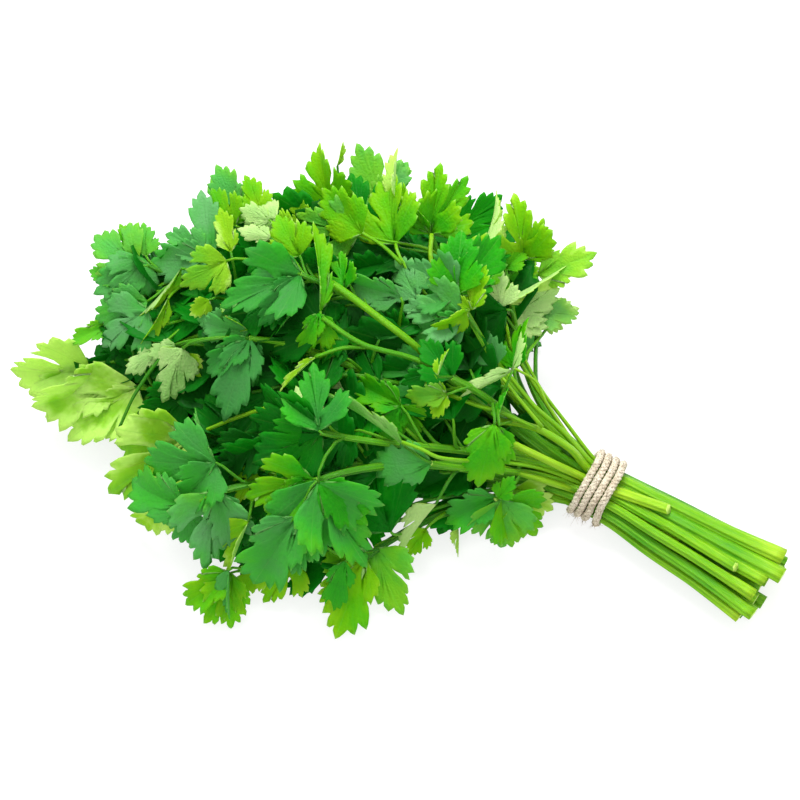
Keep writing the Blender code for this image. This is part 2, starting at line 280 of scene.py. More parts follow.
def fill_open_ends(tube):
    """Closes each open end with a face, in the second material slot."""
    mesh = bmesh.new()
    mesh.from_mesh(tube.data)
    made = bmesh.ops.holes_fill(mesh, edges=[e for e in mesh.edges if e.is_boundary])
    for face in made["faces"]:
        face.material_index = 1
    bmesh.ops.recalc_face_normals(mesh, faces=mesh.faces)
    mesh.to_mesh(tube.data)
    mesh.free()


def rings_of(node_name):
    """A modelled stem's centre line and radii, from its cut to its tip."""
    corners = np.unique(places_of(nodes[node_name].data).round(6), axis=0)
    free = set(range(len(corners)))
    rings = []
    while free:
        group, fresh = [], [free.pop()]
        while fresh:
            k = fresh.pop()
            group.append(k)
            near = [j for j in free if np.linalg.norm(corners[j] - corners[k]) < CORNER_GAP]
            free.difference_update(near)
            fresh += near
        ring = corners[group]
        centre = (ring.max(0) + ring.min(0)) / 2 if len(group) < 4 else ring.mean(0)
        rings.append((centre, np.linalg.norm(ring - centre, axis=1).max()))
    rings.sort(key=lambda ring: -ring[0][0])
    chain = [rings.pop(0)]
    while rings:
        last = chain[-1][0]
        nearest = min(range(len(rings)), key=lambda k: np.linalg.norm(rings[k][0] - last))
        chain.append(rings.pop(nearest))
    return np.array([c for c, _ in chain]), np.array([r for _, r in chain])


stem_lines = {number: rings_of(f"stem_{number:02d}") for number in range(1, STEM_COUNT + 1)}
held = [centres[TIED_RING] for centres, _ in stem_lines.values()]
held_across = [place[1] for place in held]
TIE = np.array([held[0][0] + TIE_PAST_RING, (max(held_across) + min(held_across)) / 2, 0])


def from_tie(x, y, z):
    """Millimetres from the middle of the tie, and above the table, as a place in metres."""
    return np.array([TIE[0] + x / 1000, TIE[1] + y / 1000, z / 1000])


# ---------------------------------------------------------------------------------------------
# Leaf forms: flat-leaf parsley, three lobes to a leaflet, each with coarse teeth that end in
# a tiny point. A few forms are cut out once and every leaflet is one of them, bent its own way.

# The outline is half a leaflet of length 1: across, along, and 1 where a vein ends in a tip.
HALF_OUTLINE = (
    (0.000, 1.000, 1.0),
    (0.045, 0.958, 0),
    (0.078, 0.895, 0),
    (0.084, 0.845, 0),
    (0.135, 0.868, 0),
    (0.176, 0.842, 0.9),
    (0.192, 0.780, 0),
    (0.176, 0.722, 0),
    (0.232, 0.735, 0),
    (0.268, 0.700, 0.9),
    (0.272, 0.625, 0),
    (0.232, 0.520, 0),
    (0.172, 0.415, 0),
    (0.118, 0.315, 0),
    (0.192, 0.392, 0),
    (0.256, 0.486, 0),
    (0.312, 0.572, 0),
    (0.352, 0.590, 0.9),
    (0.382, 0.555, 0),
    (0.384, 0.508, 0),
    (0.440, 0.532, 0),
    (0.486, 0.520, 1.0),
    (0.502, 0.462, 0),
    (0.478, 0.410, 0),
    (0.530, 0.396, 0),
    (0.552, 0.350, 0.9),
    (0.532, 0.292, 0),
    (0.482, 0.252, 0),
    (0.502, 0.208, 0.85),
    (0.450, 0.148, 0),
    (0.335, 0.092, 0),
    (0.180, 0.045, 0),
    (0.022, 0.000, 0),
)
# Rim points counted from the tip: where the cleft starts, where it is deepest, and the base.
CLEFT_START, CLEFT, CLEFT_REACH = 8, 13, 4
LAST = len(HALF_OUTLINE) - 1
LOBE_END = LAST - 2
# How far a shallow cleft fills out, and the point that a side lobe grows and turns about.
CLEFT_FILL, LOBE_FILL = np.array([0.10, 0.16]), np.array([0.06, 0.12])
LOBE_ROOT, LOBE_HOLD = np.array([0.05, 0.16]), 0.25
ROW_SHARES = (0, 0.26, 0.48, 0.68, 0.86, 1)
LOBE_BEND = 0.40
SIDE_VEIN = math.radians(46)
RIM_WANDER = 0.007
TIP_REACH, NOTCH_REACH = 1.03, 0.995
RELIEF = 0.07
WEB_RISE = 0.6


def half_of_form(rng, lobe, cleft, heart, turn):
    """Half of a form's rim, for its lobe's size, cleft's depth, middle's width and lobe's turn."""
    half = []
    c, s = math.cos(turn), math.sin(turn)
    for i, (x, y, tip) in enumerate(HALF_OUTLINE):
        p = np.array([x, y])
        if 0 < i <= CLEFT:
            p[0] *= heart
            shallow = (1 - cleft) * max(0, (i - CLEFT_START) / (CLEFT - CLEFT_START))
            p = p + shallow * CLEFT_FILL
        elif CLEFT < i < LAST:
            q = (p - LOBE_ROOT) * np.array([lobe, 0.4 + 0.6 * lobe])
            share = min(1, np.linalg.norm(q) / LOBE_HOLD)
            turned = np.array([c * q[0] + s * q[1], c * q[1] - s * q[0]])
            p = LOBE_ROOT + q * (1 - share) + share * turned
            shallow = (1 - cleft) * max(0, 1 - (i - CLEFT) / CLEFT_REACH)
            p = p + shallow * LOBE_FILL
        if 0 < i < LAST:
            p = p * (TIP_REACH if tip else NOTCH_REACH) + rng.normal(0, RIM_WANDER, 2)
        half.append((max(p[0], 0), p[1], tip))
    return half


def knee_of(i, x, y):
    """Where the vein or web to a rim point bends: beside the midrib, or beside a lobe's vein."""
    reach = math.hypot(x, y)
    if i <= CLEFT:
        return np.array([0.15 * x, 0.70 * y])
    angle = math.atan2(x, y)
    main = SIDE_VEIN if i < LOBE_END else angle
    bend = main + LOBE_BEND * (angle - main)
    return np.array([math.sin(bend), math.cos(bend)]) * 0.55 * reach


def leaflet_form(name, seed, left_shape, right_shape):
    """A flat leaflet cut out of a grid: each column of the grid is a vein or the web beside one."""
    rng = np.random.default_rng(seed)
    right = half_of_form(rng, *right_shape)
    left = half_of_form(rng, *left_shape)
    rim = [(-1, LAST - i, p) for i, p in enumerate(reversed(left[1:]))]
    rim += [(1, i, p) for i, p in enumerate(right)]
    form, index = grid_of(name, len(rim) - 1, len(ROW_SHARES) - 1)
    places = np.zeros((index.size, 3))
    vein, edge = np.zeros((2, index.size))
    outline = np.zeros((*index.shape, 2))
    for column, (hand, i, (x, y, tip)) in enumerate(rim):
        knee = knee_of(i, x, y)
        for row, t in enumerate(ROW_SHARES):
            outline[row, column] = 2 * t * (1 - t) * knee + t * t * np.array([x, y])
            outline[row, column, 0] *= hand
            vein[index[row, column]] = tip
            edge[index[row, column]] = t
    spread = np.linalg.norm(np.gradient(outline, axis=1), axis=2)
    for column, (_, _, (_, _, tip)) in enumerate(rim):
        for row, t in enumerate(ROW_SHARES):
            lift = RELIEF * spread[row, column] * math.sin(math.pi * t**1.5)
            rise = lift * (-tip if tip else WEB_RISE)
            places[index[row, column]] = (*outline[row, column], rise)
    form.data.vertices.foreach_set("co", places.ravel())
    set_values(form.data, "vein", vein)
    set_values(form.data, "edge", edge)
    set_pattern_map(form.data, places[:, :2])
    edit(form, bpy.ops.mesh.remove_doubles, threshold=1e-5)
    if form.data.polygons[len(form.data.polygons) // 2].normal.z < 0:
        edit(form, bpy.ops.mesh.flip_normals)
    return form


# For each form's left and right half: the side lobe's size, the cleft's depth, the middle
# lobe's width, and the side lobe's turn outwards.
FORM_SHAPES = {
    "narrow": ((0.56, 0.25, 1.05, -0.10), (0.60, 0.35, 1.05, -0.05)),
    "slender": ((0.50, 0.60, 0.85, -0.15), (0.44, 0.50, 0.85, -0.10)),
    "middling": ((0.78, 0.75, 1.00, 0.00), (0.72, 0.70, 1.05, 0.05)),
    "broad": ((0.95, 0.95, 1.00, 0.05), (1.00, 0.90, 0.95, 0.00)),
    "deep": ((0.88, 1.15, 0.82, 0.12), (0.92, 1.15, 0.85, 0.10)),
    "left": ((0.90, 0.90, 1.00, 0.10), (0.50, 0.40, 0.95, 0.00)),
    "right": ((0.50, 0.40, 0.95, 0.00), (0.90, 0.90, 1.00, 0.10)),
    "fan": ((0.85, 0.50, 1.15, -0.05), (0.80, 0.55, 1.15, -0.05)),
}
FORM_SEED = 40
forms = {
    name: leaflet_form(f"leaflet_{name}", FORM_SEED + i, *shapes)
    for i, (name, shapes) in enumerate(FORM_SHAPES.items())
}


# ---------------------------------------------------------------------------------------------
# Leaf finishes: the upper side is a smooth deep green with a soft sheen, partly its own slight gloss
# and partly a painted grey-green sheen, and fine sunken veins; the underside pale and matt with
# raised ones. Young leaflets are yellow-green and let light through. The leaflets' own values say
# how old each is, how much painted sheen it carries, and where its veins and rim run.
UPPER_GREENS = (
    (0.00, (0.000, 0.070, 0.001)),
    (0.20, (0.001, 0.195, 0.004)),
    (0.42, (0.026, 0.370, 0.003)),
    (0.62, (0.115, 0.440, 0.001)),
    (0.80, (0.205, 0.470, 0.001)),
    (0.91, (0.300, 0.560, 0.014)),
    (1.00, (0.540, 0.800, 0.160)),
)
GLOW_GREENS = (
    (0.00, (0.01, 0.40, 0.00)),
    (0.50, (0.12, 0.76, 0.00)),
    (1.00, (0.62, 0.90, 0.08)),
)
UNDER_GREENS = (
    (0.00, (0.020, 0.220, 0.030)),
    (0.50, (0.150, 0.420, 0.060)),
    (1.00, (0.550, 0.750, 0.290)),
)
UPPER_VEIN, UNDER_VEIN = (0.22, 0.58, 0.08), (0.45, 0.62, 0.26)
# Painted sheen: the grey-green that stands in for the leaves' reflection of the white studio.
PAINTED_SHEEN_GREEN = (0.170, 0.430, 0.170)
TIP_GREEN = (0.44, 0.64, 0.16)
NET_SCALE = 17
MOTTLE_SCALE = 48
GRAIN_SCALE = 900
LEAF_SHINE = 0.08
LEAF_GLOW = 0.42
FINE_RELIEF = 0.0004


def new_group(name, inputs, outputs):
    """A node group whose named inputs and outputs are all numbers."""
    group = bpy.data.node_groups.new(name, "ShaderNodeTree")
    for label, value in inputs.items():
        made = group.interface.new_socket(label, in_out="INPUT", socket_type="NodeSocketFloat")
        made.default_value = value
    for label in outputs:
        group.interface.new_socket(label, in_out="OUTPUT", socket_type="NodeSocketFloat")
    return group, group.nodes.new("NodeGroupInput"), group.nodes.new("NodeGroupOutput")


def node(tree, kind, **settings):
    made = tree.nodes.new(kind)
    for key, value in settings.items():
        setattr(made, key, value)
    return made


def feed(tree, socket, value):
    """Joins a socket to another one, or sets it to a number or a colour."""
    if isinstance(value, bpy.types.NodeSocket):
        tree.links.new(value, socket)
    else:
        socket.default_value = (*value, 1) if isinstance(value, tuple) else value


def maths(tree, operation, a, b):
    made = node(tree, "ShaderNodeMath", operation=operation)
    feed(tree, made.inputs[0], a)
    feed(tree, made.inputs[1], b)
    return made.outputs[0]


def between(tree, value, low, high, start=0.0, end=1.0):
    """The value carried from one range to another and held inside it."""
    made = node(tree, "ShaderNodeMapRange", clamp=True)
    tree.links.new(value, made.inputs["Value"])
    set_sockets(made, {"From Min": low, "From Max": high, "To Min": start, "To Max": end})
    return made.outputs["Result"]


def attribute(tree, name):
    return node(tree, "ShaderNodeAttribute", attribute_name=name).outputs["Fac"]


def noise(tree, vector, scale, detail, roughness=0.55):
    made = node(tree, "ShaderNodeTexNoise")
    feed(tree, made.inputs["Vector"], vector)
    feed(tree, made.inputs["Scale"], scale)
    set_sockets(made, {"Detail": detail, "Roughness": roughness})
    return made.outputs["Fac"]


def colours(tree, value, stops):
    """A run of colours along a value."""
    made = node(tree, "ShaderNodeValToRGB")
    ramp = made.color_ramp
    while len(ramp.elements) < len(stops):
        ramp.elements.new(0.5)
    for element, (place, colour) in zip(ramp.elements, stops):
        element.position = place
        element.color = (*colour, 1)
    tree.links.new(value, made.inputs["Fac"])
    return made.outputs["Color"]


def blended(tree, share, first, second):
    """Two colours mixed, with this share of the second."""
    made = node(tree, "ShaderNodeMix", data_type="RGBA")
    feed(tree, made.inputs[0], share)
    feed(tree, made.inputs[6], first)
    feed(tree, made.inputs[7], second)
    return made.outputs[2]


def raise_relief(tree, shader, height, strength, distance=FINE_RELIEF):
    """A fine relief on the shader's surface, sunken where its strength is below nothing."""
    relief = node(tree, "ShaderNodeBump", invert=strength < 0)
    set_sockets(relief, {"Strength": abs(strength), "Distance": distance})
    tree.links.new(height, relief.inputs["Height"])
    tree.links.new(relief.outputs["Normal"], shader.inputs["Normal"])


def group_of_leaf_pattern():
    """Veins, fine net and mottling of a leaflet, for both of its sides."""
    group, taken, given = new_group(
        "leaflet_pattern",
        {"Net Scale": NET_SCALE, "Mottle Scale": MOTTLE_SCALE},
        ("Veins", "Net", "Mottle", "Rim", "Tips", "Height"),
    )
    vein = attribute(group, "vein")
    edge = attribute(group, "edge")
    strong = between(group, vein, 0.78, 1.0)
    near_base = between(group, edge, 0.16, 0.75, 0.55, 1.0)
    fade = between(group, edge, 0.80, 1.0, 1.0, 0.45)
    veins = maths(group, "MULTIPLY", maths(group, "MULTIPLY", strong, near_base), fade)
    own = node(group, "ShaderNodeUVMap", uv_map="UVMap")
    net = node(group, "ShaderNodeTexVoronoi", feature="DISTANCE_TO_EDGE")
    group.links.new(own.outputs["UV"], net.inputs["Vector"])
    group.links.new(taken.outputs["Net Scale"], net.inputs["Scale"])
    net_line = between(group, net.outputs["Distance"], 0.0, 0.10, 1.0, 0.0)
    place = node(group, "ShaderNodeTexCoord").outputs["Object"]
    mottle = noise(group, place, taken.outputs["Mottle Scale"], 4)
    rim = between(group, edge, 0.60, 1.0)
    tooth = between(group, vein, 0.45, 0.8)
    tips = maths(group, "MULTIPLY", between(group, edge, 0.94, 1.0), tooth)
    puffs = between(group, net.outputs["Distance"], 0.0, 0.35, 0.0, -0.9)
    height = maths(group, "ADD", maths(group, "MULTIPLY", veins, 0.3), puffs)
    grain = noise(group, place, GRAIN_SCALE, 2)
    height = maths(group, "ADD", height, maths(group, "MULTIPLY", grain, 0.16))
    for socket, value in zip(given.inputs, (veins, net_line, mottle, rim, tips, height)):
        group.links.new(value, socket)
    return group


leaflet_pattern = group_of_leaf_pattern()


def leaf_material(name, greens, vein_green, vein_share, roughness, bump):
    """One side of a leaflet. Young leaflets show their veins and mottling the most."""
    made, tree, shader = new_material(name)
    pattern = node(tree, "ShaderNodeGroup", node_tree=leaflet_pattern)
    set_sockets(pattern, {"Net Scale": NET_SCALE, "Mottle Scale": MOTTLE_SCALE})
    veins, net, mottle, rim, tips, height = pattern.outputs
    tone = attribute(tree, "tone")
    young = between(tree, tone, 0.05, 0.50, 0.30, 1.0)
    wander = between(tree, mottle, 0.32, 0.68, -0.16, 0.18)
    wander = maths(tree, "ADD", wander, maths(tree, "MULTIPLY", rim, 0.10))
    tone_here = maths(tree, "ADD", tone, maths(tree, "MULTIPLY", wander, young))
    share = maths(tree, "MULTIPLY", young, vein_share)
    net_share = maths(tree, "MULTIPLY", maths(tree, "MULTIPLY", net, share), 0.10)
    green = blended(tree, net_share, colours(tree, tone_here, greens), vein_green)
    green = blended(tree, maths(tree, "MULTIPLY", veins, share), green, vein_green)
    # Painted sheen: a grey-green laid in patches over the leaflet's colour, in the share each
    # leaflet carries.
    patchy = between(tree, mottle, 0.36, 0.64, 1.35, 0.45)
    painted_sheen = maths(tree, "MULTIPLY", attribute(tree, "painted_sheen"), patchy)
    green = blended(tree, painted_sheen, green, PAINTED_SHEEN_GREEN)
    pale = maths(tree, "MULTIPLY", tips, between(tree, tone, 0.25, 0.60, 0.05, 0.8))
    green = blended(tree, pale, green, TIP_GREEN)
    tree.links.new(green, shader.inputs["Base Color"])
    rough = between(tree, mottle, 0.25, 0.75, roughness - 0.05, roughness + 0.09)
    tree.links.new(rough, shader.inputs["Roughness"])
    shader.inputs["Specular IOR Level"].default_value = LEAF_SHINE
    raise_relief(tree, shader, maths(tree, "MULTIPLY", height, young), bump)
    glow = node(tree, "ShaderNodeBsdfTranslucent")
    tree.links.new(colours(tree, tone_here, GLOW_GREENS), glow.inputs["Color"])
    through = node(tree, "ShaderNodeMixShader")
    through.inputs[0].default_value = LEAF_GLOW
    tree.links.new(shader.outputs[0], through.inputs[1])
    tree.links.new(glow.outputs[0], through.inputs[2])
    tree.links.new(through.outputs[0], tree.nodes["Material Output"].inputs["Surface"])
    return made


leaf_upper = leaf_material("leaf_upper_side", UPPER_GREENS, UPPER_VEIN, 0.55, 0.42, -0.40)
leaf_under = leaf_material("leaf_underside", UNDER_GREENS, UNDER_VEIN, 0.65, 0.60, 0.55)


# ---------------------------------------------------------------------------------------------
# Stem finish: glossy, bright yellow-green near the cut, greener among the leaves, with paler
# ribs and darker flutes that run with the stem, and a pale moist cut face.
STEM_GREENS = (
    (0.00, (0.010, 0.140, 0.001)),
    (0.35, (0.060, 0.285, 0.001)),
    (0.65, (0.155, 0.400, 0.001)),
    (1.00, (0.310, 0.520, 0.014)),
)
FLUTE_GREEN = (0.045, 0.270, 0.002)
RIB_GREEN = (0.34, 0.55, 0.05)
PITH_GREENS = ((0.3, (0.30, 0.56, 0.03)), (0.7, (0.60, 0.78, 0.18)))
PITH_SCALE = 1400


def stretched(tree, scale, turn=0.0):
    """The piece's own unrolled surface, stretched so that a pattern runs along it."""
    own = node(tree, "ShaderNodeUVMap", uv_map="UVMap")
    made = node(tree, "ShaderNodeMapping")
    set_sockets(made, {"Scale": scale, "Rotation": (0, 0, turn)})
    tree.links.new(own.outputs["UV"], made.inputs["Vector"])
    return made.outputs["Vector"]


def stem_material():
    made, tree, shader = new_material("stem_skin")
    streak = noise(tree, stretched(tree, (1.0, 11.0, 1.0)), 3.0, 5, 0.6)
    lines = noise(tree, stretched(tree, (1.2, 60.0, 1.0)), 2.0, 3, 0.6)
    place = node(tree, "ShaderNodeTexCoord").outputs["Object"]
    patches = noise(tree, place, 45, 3)
    tone = attribute(tree, "tone")
    tone = maths(tree, "ADD", tone, between(tree, patches, 0.3, 0.7, -0.10, 0.10))
    tone = maths(tree, "ADD", tone, between(tree, streak, 0.3, 0.7, -0.16, 0.16))
    tone = maths(tree, "ADD", tone, maths(tree, "MULTIPLY", attribute(tree, "ridge"), 0.07))
    dark_line = between(tree, lines, 0.34, 0.46, 0.5, 0.0)
    green = blended(tree, dark_line, colours(tree, tone, STEM_GREENS), FLUTE_GREEN)
    pale_line = between(tree, lines, 0.55, 0.66, 0.0, 0.45)
    green = blended(tree, pale_line, green, RIB_GREEN)
    tree.links.new(green, shader.inputs["Base Color"])
    tree.links.new(between(tree, lines, 0.3, 0.7, 0.26, 0.40), shader.inputs["Roughness"])
    raise_relief(tree, shader, lines, 0.6)
    shader.inputs["Specular IOR Level"].default_value = 0.22
    shader.inputs["Subsurface Weight"].default_value = 0.15
    shader.inputs["Subsurface Radius"].default_value = (0.5, 1.0, 0.15)
    shader.inputs["Subsurface Scale"].default_value = 0.0015
    return made


def cut_material():
    made, tree, shader = new_material("stem_cut_face")
    place = node(tree, "ShaderNodeTexCoord").outputs["Object"]
    pith = noise(tree, place, PITH_SCALE, 3)
    tree.links.new(colours(tree, pith, PITH_GREENS), shader.inputs["Base Color"])
    tree.links.new(between(tree, pith, 0.3, 0.7, 0.35, 0.6), shader.inputs["Roughness"])
    raise_relief(tree, shader, pith, 0.5, FINE_RELIEF / 2)
    return made


stem_skin = stem_material()
stem_cut = cut_material()


# ---------------------------------------------------------------------------------------------
# Sprigs: every leaf of the bunch is a few leaflets on short stalks. Each leaflet is one of the
# forms, folded, drooped and waved its own way, and turned with its upper side out of the bunch.

